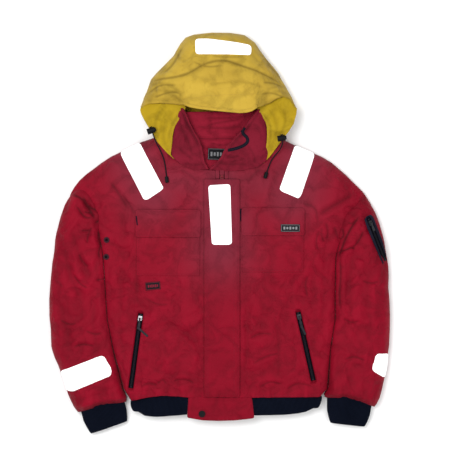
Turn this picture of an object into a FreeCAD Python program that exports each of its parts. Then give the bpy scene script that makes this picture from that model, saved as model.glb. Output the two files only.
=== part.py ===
"""Foul weather jacket, lying on its back: zipped front up, hood spread above the collar.

Millimetres.  +Z is up through the jacket's thickness, +Y runs from the hem towards the hood,
and +X is the wearer's left side.  The origin is on the surface the jacket lies on, in the
middle of its length and width.  Right and left in the names are the wearer's.
"""
import FreeCAD
import Part
import math
import os

V = FreeCAD.Vector

# ---- driving dimensions ----------------------------------------------------------------
CROWN_RADIUS = 3000.0        # the padded front lies as a very flat barrel along Y
CHEST_HEIGHT = 52.0          # top of the front shell over the surface, on the centre line
SHELL = 6.0                  # padded shell
LINING = 1.8
SEAM_GAP = 0.2               # between sewn pieces
FIT_GAP = 0.6                # between pieces that move past each other

CENTRE_X = 6.0               # centre of the main zip
CHANNEL = 11.0               # half width of the zip channel between the front shells
NECK_Y = 154.0               # front neck seam
HEM_Y = -391.0               # where the ribbed hem is sewn on
RIB_DEPTH = 44.0
RIB_THICK = 5.0

ARM_X = 330.0                # each sleeve swings about this point of the upper arm
ARM_Y = 30.6
ARM_RADIUS = 60.0            # rounded top of the sleeve
SLEEVE_WALL = 5.0

HINGE_Y = 364.0              # seam between hood crown and visor
HOOD_WALL = 5.0
HOOD_HEIGHT = 104.0
HOOD_FRONT_Y = 311.0         # where the hood's sides fold down on the shoulders
VISOR_FRONT_Y = 292.0

COLLAR_X = -1.2
COLLAR_HALF = 110.0
COLLAR_TOP_Y = 286.0
COLLAR_FLOOR = 8.6
COLLAR_HEIGHT = 62.0
COLLAR_WALL = 5.0

FLAP_LEFT_X = 49.0           # sewn edge of the storm flap
FLAP_RIGHT_X = -37.0         # its free edge
FLAP_TOP_Y = 131.0
FLAP_LIFT = 1.5
FLAP_THICK = 5.0
PATCH = 1.2                  # reflective tape with its backing

POCKET_PANEL = 2.4           # chest pocket cloth over the shell
POCKET_FLAP = 3.0

TAPE_DEPTH = -5.9            # zips lie in a slot of the shell, below its surface
TAPE_THICK = 0.8
TEETH_HALF = 3.0
TEETH_HEIGHT = 1.4

CORD_DIAMETER = 3.0
LOCK_RADIUS = 7.0
LOCK_LENGTH = 18.5
BUTTON_RADIUS = 4.6
BUTTON_TRAVEL = 3.0

FAR = 700.0                  # beyond every outline


# ---- helpers ---------------------------------------------------------------------------
def save(name, *shapes):
    """Write one named sub-part, one or more closed solids, to its own STEP file."""
    pieces = []
    for shape in shapes:
        pieces.extend(shape.Solids)
    for piece in pieces:
        if not piece.isValid() or piece.Volume <= 0:
            raise SystemExit("bad solid in " + name)
    whole = pieces[0] if len(pieces) == 1 else Part.makeCompound(pieces)
    whole.exportStep("parts/" + name + ".step")
    return whole


def prism(points, low, high):
    """Straight-sided block over an outline of (x, y) points."""
    corners = [V(x, y, low) for x, y in points]
    corners.append(corners[0])
    return Part.Face(Part.makePolygon(corners)).extrude(V(0, 0, high - low))


def block(x0, x1, y0, y1, z0, z1):
    return Part.makeBox(x1 - x0, y1 - y0, z1 - z0, V(x0, y0, z0))


def drum(x, y, radius, low=-5.0, high=200.0):
    return Part.makeCylinder(radius, high - low, V(x, y, low))


def barrel(depth):
    """Everything under the front's crowned surface, raised by depth."""
    base = V(0, -FAR, CHEST_HEIGHT - CROWN_RADIUS)
    return Part.makeCylinder(CROWN_RADIUS + depth, 2 * FAR, base, V(0, 1, 0))


def layer(outline, low, high):
    """A sheet over an outline, between two depths measured from the front's surface."""
    return prism(outline, 0, 90).common(barrel(high)).cut(barrel(low))


def front_height(x):
    return CHEST_HEIGHT - CROWN_RADIUS + math.sqrt(CROWN_RADIUS ** 2 - x * x)


def front_frame(x, y, turn=0.0, lift=0.0):
    """Placement on the front's surface: local +Z is its normal, local +Y turned by turn."""
    tilt = math.degrees(math.asin(x / CROWN_RADIUS))
    lean = FreeCAD.Rotation(V(0, 1, 0), tilt)
    spin = FreeCAD.Rotation(V(0, 0, 1), turn)
    return FreeCAD.Placement(V(x, y, front_height(x) + lift), lean.multiply(spin))


def placed(shape, frame):
    result = shape.copy()
    result.Placement = frame.multiply(result.Placement)
    return result


def offset(points, width):
    """The points of an open path moved to its left by width."""
    moved = []
    last = len(points) - 1
    for i, (x, y) in enumerate(points):
        x0, y0 = points[max(i - 1, 0)]
        x1, y1 = points[min(i + 1, last)]
        length = math.hypot(x1 - x0, y1 - y0)
        moved.append((x - (y1 - y0) / length * width, y + (x1 - x0) / length * width))
    return moved


def band(points, width, start=0.0):
    """Outline of a strip along the left of an open path."""
    return offset(points, start) + offset(points, start + width)[::-1]


def arch(x, y, half, height, turn, floor, grow):
    """Section of a flattened tube: a half ellipse over a flat underside."""
    ellipse = Part.Ellipse(V(half + grow, 0, 0), V(0, 0, height - floor + grow), V(0, 0, 0))
    bow = Part.ArcOfEllipse(ellipse, 0, math.pi).toShape()
    sole = Part.LineSegment(V(-half - grow, 0, 0), V(half + grow, 0, 0)).toShape()
    wire = Part.Wire([bow, sole])
    wire.Placement = FreeCAD.Placement(V(x, y, floor), FreeCAD.Rotation(V(0, 0, 1), turn))
    return wire


def tube(stations, floor=0.0, grow=0.0):
    """Solid through stations given as (x, y, half width, height, turn)."""
    wires = [arch(x, y, half, height, turn, floor, grow) for x, y, half, height, turn in stations]
    return Part.makeLoft(wires, True, True)


def hollow(stations, wall, floor=0.0):
    """Flattened tube with open ends: its bore runs out past the first and last stations."""
    inner = []
    for x, y, half, height, turn in stations:
        inner.append((x, y, half - wall, height - wall, turn))
    first, last = inner[0], inner[-1]
    reach = 1.0
    ahead = (first[0], first[1] + reach) + first[2:]
    behind = (last[0], last[1] - reach) + last[2:]
    core = tube([ahead] + inner + [behind], floor + wall)
    return tube(stations, floor).cut(core)


# ---- outlines of the body --------------------------------------------------------------
SHOULDER_RIGHT = [(-124, 236), (-265, 189), (-306, 160), (-342, 131), (-364, 103), (-376, 69.2)]
SHOULDER_LEFT = [(124, 236), (248, 190), (306, 147), (335, 118), (359, 89), (376, 69.2)]
SIDE_RIGHT = [
    (-288, -12), (-289, -53), (-277, -130), (-270, -205), (-257, -277), (-234, -373), (-216, HEM_Y),
]
SIDE_LEFT = [
    (288, -12), (284, -53), (279, -130), (279, -205), (268, -277), (262, -373), (246, HEM_Y),
]
NECK_HALF = 112.4


def body_half(side):
    """Outline of one half of the body, from the centre line out, with the arm's round cut."""
    if side < 0:
        shoulder, seam = SHOULDER_RIGHT, SIDE_RIGHT
    else:
        shoulder, seam = SHOULDER_LEFT, SIDE_LEFT
    return shoulder + [(side * ARM_X, ARM_Y)] + seam


def arm_cut(grow):
    """The two round arm cuts, as blocks to take out of the body."""
    radius = ARM_RADIUS + grow
    return drum(-ARM_X, ARM_Y, radius).fuse(drum(ARM_X, ARM_Y, radius))


def front_outline(side, inset):
    """One front shell: half of the body up to the zip channel and the neck seam."""
    edge = CENTRE_X + side * (CHANNEL + inset)
    neck = [(edge, HEM_Y), (edge, NECK_Y), (side * NECK_HALF, NECK_Y), (side * NECK_HALF, 232)]
    return body_half(side) + neck


# ---- body ------------------------------------------------------------------------------
def make_body():
    arms = arm_cut(FIT_GAP)
    whole = body_half(-1)[::-1] + body_half(1)
    back = prism(whole, 0, SHELL).cut(arms)
    save("back_shell", back)

    inset = arm_cut(FIT_GAP + 3)
    keep = block(-FAR, FAR, HEM_Y + 6, 228, 0, 90)
    low = SHELL + SEAM_GAP
    walls = []
    for side, seam in ((-1, SIDE_RIGHT), (1, SIDE_LEFT)):
        inward = band(seam, side * -SHELL)
        walls.append(prism(inward, low, 80).common(barrel(-SHELL - SEAM_GAP)).cut(arms))
    save("side_panels", *walls)
    yokes = []
    for side, ridge in ((-1, SHOULDER_RIGHT), (1, SHOULDER_LEFT)):
        inward = band(ridge, side * SHELL)
        yokes.append(prism(inward, low, 80).common(barrel(-SHELL - SEAM_GAP)).cut(arms))
    save("shoulder_yokes", *yokes)
    edges = Part.makeCompound(walls + yokes)

    linings = [prism(whole, low, low + LINING).cut(inset).common(keep).cut(edges)]
    for side, name in ((-1, "right"), (1, "left")):
        outline = front_outline(side, 0)
        shell = layer(outline, -SHELL, 0).cut(arms).cut(zip_slots(side))
        save("front_shell_" + name, shell.cut(vent_holes()))
        lining = layer(front_outline(side, 4), -10.4, -10.4 + LINING).cut(inset)
        linings.append(lining.common(keep).cut(vent_holes()).cut(edges))
    save("body_lining", *linings)


VENTS = [(-272, -12.6), (-273, -53.4)]
VENT_HOLE = 4.2


def vent_frames():
    return [front_frame(x, y) for x, y in VENTS]


def vent_holes():
    """Through holes of the underarm vents."""
    drill = Part.makeCylinder(VENT_HOLE, 30, V(0, 0, -20))
    return Part.makeCompound([placed(drill, frame) for frame in vent_frames()])


def make_eyelets():
    """Pressed metal eyelets round the two underarm vents."""
    rim = Part.makeCylinder(7.0, 0.9, V(0, 0, 0.1))
    barrel_wall = Part.makeCylinder(VENT_HOLE - 0.1, SHELL, V(0, 0, 0.1 - SHELL))
    bore = Part.makeCylinder(VENT_HOLE - 0.8, 30, V(0, 0, -20))
    eyelet = rim.fuse(barrel_wall).cut(bore)
    save("vent_eyelets", *[placed(eyelet, frame) for frame in vent_frames()])


# ---- zips ------------------------------------------------------------------------------
# each hand zip: x, y of its middle, turn of its upper end, length, half width of its slot
HAND_ZIPS = {"right": (-202.0, -279.6, -7.7, 182.0), "left": (208.0, -268.8, 12.7, 170.0)}
SLOT_HALF = 6.2


def hand_frame(name):
    x, y, turn, _ = HAND_ZIPS[name]
    return front_frame(x, y, turn)


def zip_slots(side):
    """Slot of one hand pocket zip through the front shell."""
    name = "right" if side < 0 else "left"
    length = HAND_ZIPS[name][3]
    slot = block(-SLOT_HALF, SLOT_HALF, -length / 2, length / 2, -SHELL - 3, 3)
    return placed(slot, hand_frame(name))


def zip_strip(length, half):
    """Tape with its closed teeth, along local Y, middle at the origin."""
    top = TAPE_DEPTH + TAPE_THICK
    tape = block(-half, half, -length / 2, length / 2, TAPE_DEPTH, top)
    teeth = block(-TEETH_HALF, TEETH_HALF, -length / 2 + 4, length / 2 - 4, top, top + TEETH_HEIGHT)
    return tape.fuse(teeth)


def zip_slider():
    """Slider that rides on the teeth; its pull hangs on a cross pin between two cheeks."""
    low = TAPE_DEPTH + TAPE_THICK + TEETH_HEIGHT + 0.2
    plate = prism([(-4.4, 6), (4.4, 6), (3.6, -6), (-3.6, -6)], low, low + 1.2)
    slider = plate
    for inner, outer in ((-4.6, -3.4), (3.4, 4.6)):
        slider = slider.fuse(block(inner, outer, -5, 5, low - 1.3, low + 0.4))
    for inner, outer in ((-3.4, -2.3), (2.3, 3.4)):
        slider = slider.fuse(block(inner, outer, -2, 2, low + 1.1, low + 4.4))
    pin = Part.makeCylinder(0.7, 6.0, V(-3, 0, low + 3.0), V(1, 0, 0))
    return slider.fuse(pin)


PIN_HEIGHT = TAPE_DEPTH + TAPE_THICK + TEETH_HEIGHT + 3.2


def zip_pull(length):
    """Metal tongue with its eye on the slider's pin, pointing along local -Y."""
    eye = Part.makeCylinder(1.5, 4.0, V(-2, 0, PIN_HEIGHT), V(1, 0, 0))
    tongue = block(-2, 2, -length, -0.9, PIN_HEIGHT - 0.6, PIN_HEIGHT + 0.6)
    tip = block(-3, 3, -length, -length * 0.45, PIN_HEIGHT - 0.6, PIN_HEIGHT + 0.6)
    bore = Part.makeCylinder(0.76, 10.0, V(-5, 0, PIN_HEIGHT), V(1, 0, 0))
    return eye.fuse(tongue).fuse(tip).cut(bore)


def pull_with_tassel(length, reach, turn):
    """Tongue that carries a moulded cord tassel, lying askew on the cloth."""
    low = 1.0
    knot = Part.makeCylinder(3.0, low + 2.4 - PIN_HEIGHT, V(0, -length + 3, PIN_HEIGHT))
    bar = block(-2.4, 2.4, -reach, 0, low, low + 2.4)
    bar.Placement = FreeCAD.Placement(V(0, -length + 3, 0), FreeCAD.Rotation(V(0, 0, 1), turn))
    return zip_pull(length).fuse(knot).fuse(bar)


MAIN_SLIDER_Y = 138.5
MAIN_PULL = 15.0             # its tongue ends short of the collar
MAIN_ZIP_END = HEM_Y + 2


def make_main_zip():
    """Open-ended front zip: one tape with its row of teeth on each side."""
    middle = (NECK_Y + MAIN_ZIP_END) / 2
    length = NECK_Y - MAIN_ZIP_END
    frame = front_frame(CENTRE_X, middle)
    strip = zip_strip(length, CHANNEL - SEAM_GAP)
    right = strip.common(block(-50, -0.05, -FAR, FAR, -50, 50))
    left = strip.common(block(0.05, 50, -FAR, FAR, -50, 50))
    save("main_zip_right", placed(right, frame))
    save("main_zip_left", placed(left, frame), collar_zip())
    at = front_frame(CENTRE_X, MAIN_SLIDER_Y)
    save("main_zip_slider", placed(zip_slider(), at))
    flip = FreeCAD.Placement(V(0, 0, 0), FreeCAD.Rotation(V(0, 0, 1), 180))
    save("main_zip_pull", placed(placed(zip_pull(MAIN_PULL), flip), at))


def make_hand_zips():
    strips = []
    for name, reach, turn in (("right", 30, 56), ("left", 22, 12)):
        length = HAND_ZIPS[name][3]
        frame = hand_frame(name)
        strips.append(placed(zip_strip(length - 0.6, SLOT_HALF - SEAM_GAP), frame))
        top = frame.multiply(FreeCAD.Placement(V(0, length / 2 - 12, 0), FreeCAD.Rotation()))
        save("hand_slider_" + name, placed(zip_slider(), top))
        save("hand_pull_" + name, placed(pull_with_tassel(26, reach, turn), top))
    save("hand_pocket_zips", *strips)


def make_pocket_bags():
    """Flat pouches behind the hand pockets, between shell and lining."""
    bags = []
    for x0, x1 in ((-190, -60), (60, 190)):
        outline = [(x0, -360), (x1, -360), (x1, -190), (x0, -190)]
        bags.append(layer(outline, -8.4, -SHELL - SEAM_GAP))
    save("hand_pocket_bags", *bags)


# ---- front details ---------------------------------------------------------------------
POCKET_RIGHT = [(-200, -99), (-47, -99), (-47, 61), (-200, 61)]
POCKET_LEFT = [(54, -90), (203, -90), (203, 64), (54, 64)]
RIGHT_HINGE_Y = 60.0
LEFT_HINGE_Y = 64.0
FLAP_DROP = 66.0


def make_chest_pockets():
    lift = SEAM_GAP
    panels = [layer(outline, lift, lift + POCKET_PANEL) for outline in (POCKET_RIGHT, POCKET_LEFT)]
    save("chest_pockets", *panels)
    low = lift + POCKET_PANEL + 0.4
    for name, x0, x1, top in (("right", -202, -45, RIGHT_HINGE_Y), ("left", 52.5, 205, LEFT_HINGE_Y)):
        outline = [(x0, top - FLAP_DROP), (x1, top - FLAP_DROP), (x1, top), (x0, top)]
        save("pocket_flap_" + name, layer(outline, low, low + POCKET_FLAP))
    badge = block(-23, 23, -9, 9, 0, 1.0)
    high = low + POCKET_FLAP + 0.1
    save("chest_label", placed(badge, front_frame(170, 16, 0, high)))


def make_labels():
    """Neck label inside the collar and the small woven label under the right chest pocket."""
    neck = block(-25.7, 14.6, 177, 207, COLLAR_FLOOR + COLLAR_WALL + 0.2, COLLAR_FLOOR + COLLAR_WALL + 1.2)
    small = block(-18, 18, -9.5, 9.5, SEAM_GAP, SEAM_GAP + 1.0)
    save("labels", neck, placed(small, front_frame(-160, -123, 5)))


def make_storm_flap():
    top = FLAP_LIFT + FLAP_THICK
    left, right = FLAP_LEFT_X, FLAP_RIGHT_X
    outline = [(right, HEM_Y), (left, HEM_Y), (left, FLAP_TOP_Y), (right, FLAP_TOP_Y)]
    save("storm_flap", layer(outline, FLAP_LIFT, top))
    strip = [(right + 3, -330), (right + 23, -330), (right + 23, 110), (right + 3, 110)]
    save("flap_loop_tape", layer(strip, 0.05, 0.5))
    save("flap_hook_tape", layer(strip, 0.9, FLAP_LIFT - 0.05))
    patch = [(-27, 118.5), (26, 121.5), (30, -20), (24, -24), (-14, -24), (-18.5, -20)]
    save("reflective_placket", layer(patch, top + 0.05, top + PATCH))


def make_hem():
    """Ribbed hem in three lengths, with the plain tab that carries the storm flap's snap."""
    low = HEM_Y - RIB_DEPTH
    top = HEM_Y - SEAM_GAP
    right = [(-213, top), (-75, top), (-78, low), (-206, low)]
    left = [(78, top), (243, top), (232, low), (84, low)]
    back = [(-213, top), (243, top), (232, low), (-206, low)]
    ribs = [prism(back, 0, RIB_THICK)]
    for outline, edge in ((right, right[3:] + right[:1]), (left, left[1:3])):
        ribs.append(layer(outline, -RIB_THICK - 1, -1))
        side = prism(band(edge, -RIB_THICK), RIB_THICK + SEAM_GAP, 80)
        side = side.common(block(-FAR, FAR, -FAR, top, 0, 90))
        ribs.append(side.common(barrel(-RIB_THICK - 1 - SEAM_GAP)))
    save("hem_ribs", *ribs)
    tab = [(-74, top), (77, top), (83, low - 6), (0, low - 12), (-77, low - 4)]
    save("hem_tab", layer(tab, -RIB_THICK - 1, -1).cut(placed(snap_bore(), snap_frame())))
    cap = Part.makeCylinder(8.0, 1.6, V(0, 0, -0.8))
    post = Part.makeCylinder(2.4, RIB_THICK + 1, V(0, 0, -RIB_THICK - 1.6))
    socket = Part.makeCylinder(6.5, 2.0, V(0, 0, -RIB_THICK - 3.4))
    save("hem_snap", placed(cap.fuse(post).fuse(socket), snap_frame()))


def snap_frame():
    return front_frame(-42, -430)


def snap_bore():
    return Part.makeCylinder(2.6, 20, V(0, 0, -12))


# ---- sleeves ---------------------------------------------------------------------------
# each station: x, y of its middle, half width, height, turn
SLEEVE_RIGHT = [
    (-330.0, 92.0, 60.0, 44.0, 0.0),
    (-330.0, 30.6, 60.0, 46.0, 0.0),
    (-346.8, -36.6, 55.2, 47.0, 0.0),
    (-345.0, -156.6, 69.0, 46.0, 0.0),
    (-336.5, -264.6, 73.0, 44.0, 0.0),
    (-313.2, -333.0, 69.0, 42.0, 3.0),
    (-290.4, -411.0, 62.5, 36.0, 7.0),
]
SLEEVE_LEFT = [
    (330.0, 92.0, 60.0, 44.0, 0.0),
    (330.0, 30.6, 60.0, 46.0, 0.0),
    (345.5, -36.6, 57.5, 47.0, 0.0),
    (347.4, -156.6, 66.6, 46.0, 0.0),
    (342.5, -264.6, 71.0, 44.0, 0.0),
    (334.4, -336.6, 67.6, 42.0, -2.0),
    (317.5, -400.0, 60.8, 36.0, -5.0),
]
CUFF_RIGHT = [
    (-290.3, -411.6, 56.0, 34.0, 7.0), (-278.0, -440.0, 52.0, 32.0, 14.0),
    (-269.0, -468.0, 49.5, 26.0, 18.0),
]
CUFF_LEFT = [
    (317.4, -400.6, 56.0, 34.0, -5.0), (313.0, -430.0, 50.0, 32.0, -6.0),
    (311.0, -461.0, 43.5, 26.0, -6.0),
]


def sleeve_room(side):
    """Room that a sleeve takes: its round top, and all below the pivot beside the body."""
    top = drum(side * ARM_X, ARM_Y, ARM_RADIUS)
    below = block(-FAR, FAR, -FAR, ARM_Y, -5, 200)
    shoulder, seam = (SHOULDER_RIGHT, SIDE_RIGHT) if side < 0 else (SHOULDER_LEFT, SIDE_LEFT)
    clear = offset(seam, side * 2 * FIT_GAP)
    body = [(0, 236)] + shoulder + [(side * ARM_X, ARM_Y)] + clear + [(clear[-1][0], -FAR), (0, -FAR)]
    return top.fuse(below.cut(prism(body, -5, 200)))


def make_sleeve(name, side, stations, cuff, patch):
    sleeve = hollow(stations, SLEEVE_WALL).common(sleeve_room(side))
    save("sleeve_" + name, sleeve)
    save("cuff_" + name, hollow(cuff, 4.0))
    skin = tube(stations, 0.0, 0.15 + PATCH).cut(tube(stations, 0.0, 0.15))
    save("reflective_sleeve_" + name, prism(patch, 0.5, 90).common(skin))


PATCH_SLEEVE_RIGHT = [(-386, -328), (-280, -288), (-259, -322), (-259, -338), (-352, -379), (-372, -376)]
PATCH_SLEEVE_LEFT = [(367, -325), (376, -285), (412, -286), (408, -342), (399, -345)]

# the sleeve pocket is a flat padded pad, set on a slanting plane
POCKET_TOP = V(357.0, 46.0, 54.0)
POCKET_LOW = V(405.0, -70.0, 34.0)
POCKET_EDGE = 413.5


def pocket_frame():
    """Local +Y runs up along the sleeve pocket's zip, local +Z out of its flat face."""
    along = (POCKET_TOP - POCKET_LOW).normalize()
    normal = V(0.42, 0.0, 1.0)
    across = along.cross(normal).normalize()
    normal = across.cross(along)
    return frame_of((POCKET_TOP + POCKET_LOW) * 0.5, across, along, normal)


def make_sleeve_pocket():
    frame = pocket_frame()
    length = (POCKET_TOP - POCKET_LOW).Length
    half = 14.0
    pad = placed(block(-half, half, -length / 2, length / 2, -60, 0), frame)
    slot = placed(block(-SLOT_HALF, SLOT_HALF, -length / 2 + 6, length / 2 - 6, TAPE_DEPTH - 0.1, 5), frame)
    pad = pad.common(block(0, POCKET_EDGE, -FAR, FAR, 1, 200)).cut(tube(SLEEVE_LEFT, 0.0, 0.3))
    save("sleeve_pocket", pad.cut(slot))
    strip = zip_strip(length - 13, SLOT_HALF - SEAM_GAP)
    save("sleeve_pocket_zip", placed(strip, frame))
    top = frame.multiply(FreeCAD.Placement(V(0, length / 2 - 20, 0), FreeCAD.Rotation()))
    save("sleeve_slider", placed(zip_slider(), top))
    save("sleeve_pull", placed(zip_pull(20), top))


# ---- collar and hood -------------------------------------------------------------------
COLLAR_NOTCH = [
    (-84, 300), (-70, 267), (-48, 227), (-38, 194), (-36, 176), (-28, 163), (-23, 160),
    (13, 215), (52, 251), (82, 287), (90, 300),
]


def make_collar():
    """Stand collar lying flattened: its back under, its two fronts over, open in a V."""
    stations = []
    for y in (COLLAR_TOP_Y, NECK_Y + 1):
        stations.append((COLLAR_X, y, COLLAR_HALF, COLLAR_HEIGHT, 0))
    ring = hollow(stations, COLLAR_WALL, COLLAR_FLOOR)
    split = COLLAR_FLOOR + COLLAR_WALL + 6
    save("collar_back", ring.common(block(-FAR, FAR, 0, FAR, 0, split)))
    front = ring.common(block(-FAR, FAR, 0, FAR, split + SEAM_GAP, 200))
    front = front.cut(prism(COLLAR_NOTCH, 20, 90))
    middle = -23.0
    save("collar_front_right", front.common(block(-FAR, middle, 0, FAR, 0, 200)))
    save("collar_front_left", front.common(block(middle + SEAM_GAP, FAR, 0, FAR, 0, 200)))


def collar_zip():
    """Upper end of the left zip tape, turned out over the collar's left front."""
    path = [(20, 201), (57.6, 213), (71, 227), (56, 242), (60, 256)]
    outline = band(path, 8.0)
    inner = []
    for y in (300, 100):
        inner.append((COLLAR_X, y, COLLAR_HALF + SEAM_GAP, COLLAR_HEIGHT + SEAM_GAP, 0))
    skin = tube(inner, COLLAR_FLOOR, 1.2).cut(tube(inner, COLLAR_FLOOR))
    return prism(outline, 30, 90).common(skin).Solids[0]


HOOD = [
    (-2.4, 483.3, 48.0, 24.0, 0), (-6.0, 472.0, 78.0, 44.0, 0), (-4.8, 448.0, 99.6, 68.0, 0),
    (-3.6, 419.4, 122.4, 88.0, 0), (-8.4, 376.2, 158.4, 101.0, 0), (-3.6, 333.0, 180.0, HOOD_HEIGHT, 0),
    (-2.4, 290.0, 188.0, HOOD_HEIGHT, 0),
]
VISOR_RIGHT_X = -82.0         # sides of the visor, straight so that it lifts clear
VISOR_LEFT_X = 98.0
LOBE_RIGHT = [
    (-174, 309), (-85, 309), (-80, 303), (-97, 275), (-109, 251), (-113, 222),
    (-116.5, 193), (-107.5, 180.5), (-149, 222), (-168, 259), (-191, 300),
]
LOBE_LEFT = [
    (90, 309), (186, 309), (186, 304), (164, 251), (152, 232),
    (107, 172), (113, 222), (113, 258), (92, 292),
]


def make_hood():
    inner = []
    for x, y, half, height, turn in HOOD:
        inner.append((x, y - HOOD_WALL, half - HOOD_WALL, height - HOOD_WALL, turn))
    outer = tube(HOOD)
    inner[-1] = (-2.4, 280.0, 183.0, HOOD_HEIGHT - HOOD_WALL, 0)
    shell = outer.cut(tube(inner, HOOD_WALL))
    split = 12.0
    apron = [(-150, 290), (150, 290), (118, 240), (-118, 240)]
    under = shell.common(block(-FAR, FAR, 290, FAR, -1, split)).fuse(prism(apron, 0, HOOD_WALL))
    save("hood_back", under)
    over = shell.common(block(-FAR, FAR, HOOD_FRONT_Y, FAR, split + SEAM_GAP, 200))
    save("hood_crown", over.common(block(-FAR, FAR, HINGE_Y, FAR, 0, 200)))
    front = shell.common(block(-FAR, FAR, 250, HINGE_Y - FIT_GAP, split + SEAM_GAP, 200))
    high = 40.0
    wide = block(VISOR_RIGHT_X - 1, VISOR_LEFT_X + 1, 250, HINGE_Y + 1, high - 1, 200)
    save("hood_sides", front.cut(wide).common(block(-FAR, FAR, HOOD_FRONT_Y, FAR, 0, 200)))
    brim = block(VISOR_RIGHT_X, VISOR_LEFT_X, VISOR_FRONT_Y, HINGE_Y, high, 200)
    save("visor", front.common(brim))
    second = []
    for x, y, half, height, turn in inner:
        second.append((x, y - 2, half - 2.4, height - 2.4, turn))
    cover = []
    for x, y, half, height, turn in inner:
        cover.append((x, y - 0.3, half - 0.3, height - 0.3, turn))
    liner = tube(cover, HOOD_WALL + 0.3).cut(tube(second, HOOD_WALL + 2.4))
    save("hood_lining", liner.common(block(-FAR, FAR, HINGE_Y + 2, FAR, 0, 200)))
    patch = [(-58, 462), (-53, 468), (68, 455), (74, 449), (74, 431), (68, 426), (-52, 427), (-56, 432)]
    skin = tube(HOOD, 0.0, 0.2 + PATCH).cut(tube(HOOD, 0.0, 0.2))
    save("reflective_hood", prism(patch, 40, 200).common(skin))
    for name, outline in (("right", LOBE_RIGHT), ("left", LOBE_LEFT)):
        save("hood_lobe_" + name, prism(outline, 55, 62))


def make_shoulder_patches():
    right = [(-241, 199), (-193, 223.5), (-134, 112), (-140, 106), (-174, 84), (-182, 85)]
    left = [(181, 218), (230, 196), (196, 94), (190, 87), (150, 104), (144, 110)]
    room = prism(SHOULDER_RIGHT + [(-300, 0), (-100, 0)], 0, 90)
    room = room.fuse(prism(SHOULDER_LEFT + [(300, 0), (100, 0)], 0, 90))
    save("reflective_shoulders", *[layer(patch, 0.2, 0.2 + PATCH).common(room) for patch in (right, left)])


# ---- drawcords -------------------------------------------------------------------------
# every cord leaves its eyelet in the hood's edge, passes its lock and lies on the chest
CORDS = {
    "right": [
        V(-164, 256, 70.5), V(-157, 236, 69), V(-150, 217, 60), V(-140.5, 200, 52.6),
        V(-133, 180, 51.2), V(-129, 159, 51.8), V(-127, 139, 54.0),
    ],
    "left": [
        V(148.3, 238, 70.5), V(151.5, 217, 69), V(143, 200, 60), V(129, 186.5, 52.6),
        V(119.5, 168, 51.8), V(113, 149, 54.5),
    ],
}


def rounded_path(points):
    """Straight runs joined by tangent arcs, each as large as its two runs allow."""
    edges = []
    radii = []
    start = points[0]
    for before, corner, after in zip(points, points[1:], points[2:]):
        back = before - corner
        ahead = after - corner
        turn = math.pi - back.getAngle(ahead)
        reach = 0.45 * min(back.Length, ahead.Length)
        radius = reach / math.tan(turn / 2)
        first = corner + back.normalize() * reach
        last = corner + ahead.normalize() * reach
        middle = (back + ahead).normalize()
        apex = corner + middle * (math.hypot(radius, reach) - radius)
        edges.append(Part.LineSegment(start, first).toShape())
        edges.append(Part.Arc(first, apex, last).toShape())
        radii.append(radius)
        start = last
    edges.append(Part.LineSegment(start, points[-1]).toShape())
    return Part.Wire(edges), radii


def make_cord(name, points):
    path, radii = rounded_path(points)
    section = Part.Wire(Part.makeCircle(CORD_DIAMETER / 2, points[0], points[1] - points[0]))
    cord = path.makePipeShell([section], True, False)
    expected = math.pi * CORD_DIAMETER ** 2 / 4 * path.Length
    print("cord", name, "length %.1f" % path.Length, "volume ratio %.3f" % (cord.Volume / expected),
          "smallest radius %.1f" % min(radii))
    save("drawcord_" + name, cord)
    heading = (points[-1] - points[-2]).normalize()
    bead = Part.makeCylinder(4.4, 12, points[-1], heading)
    taper = Part.makeCone(4.4, 3.0, 2.5, points[-1] + heading * 12, heading)
    save("cord_end_" + name, bead.fuse(taper))


def frame_of(centre, along, across, normal):
    """Placement whose local X, Y and Z run along three given directions."""
    matrix = FreeCAD.Matrix(
        along.x, across.x, normal.x, centre.x,
        along.y, across.y, normal.y, centre.y,
        along.z, across.z, normal.z, centre.z,
        0, 0, 0, 1,
    )
    return FreeCAD.Placement(matrix)


def lock_frame(points):
    """Local +X runs along the cord's first run, local +Z out of the jacket."""
    along = (points[1] - points[0]).normalize()
    across = V(0, 0, 1).cross(along).normalize()
    return frame_of(points[0] + along * 7.6, along, across, along.cross(across))


def make_cord_lock(name, points):
    """Barrel lock: a sprung button crosses the cord inside a round case."""
    frame = lock_frame(points)
    case = Part.makeCylinder(LOCK_RADIUS, LOCK_LENGTH, V(0, -11, 0), V(0, 1, 0))
    bore = Part.makeCylinder(BUTTON_RADIUS + 0.1, 30, V(0, -9.4, 0), V(0, 1, 0))
    passage = Part.makeCylinder(2.6, 30, V(-15, 0, 0), V(1, 0, 0))
    spring = Part.makeCylinder(4.2, 3.4, V(0, -9.3, 0), V(0, 1, 0))
    spring = spring.cut(Part.makeCylinder(3.2, 9, V(0, -12, 0), V(0, 1, 0)))
    save("cord_lock_" + name, placed(case.cut(bore).cut(passage), frame), placed(spring, frame))
    button = Part.makeCylinder(BUTTON_RADIUS, 13.1, V(0, -2.6, 0), V(0, 1, 0))
    slot = block(-15, 15, -1.9, 1.9 + BUTTON_TRAVEL, -2.5, 2.5)
    save("lock_button_" + name, placed(button.cut(slot), frame))
    ring = Part.makeCylinder(4.0, 1.5, V(-9.3, 0, 0), V(1, 0, 0))
    foot = block(-9.3, -7.8, -3, 3, -7.6, 0)
    hole = Part.makeCylinder(CORD_DIAMETER / 2 + 0.05, 30, V(-20, 0, 0), V(1, 0, 0))
    return placed(ring.fuse(foot).cut(hole), frame)


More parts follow.
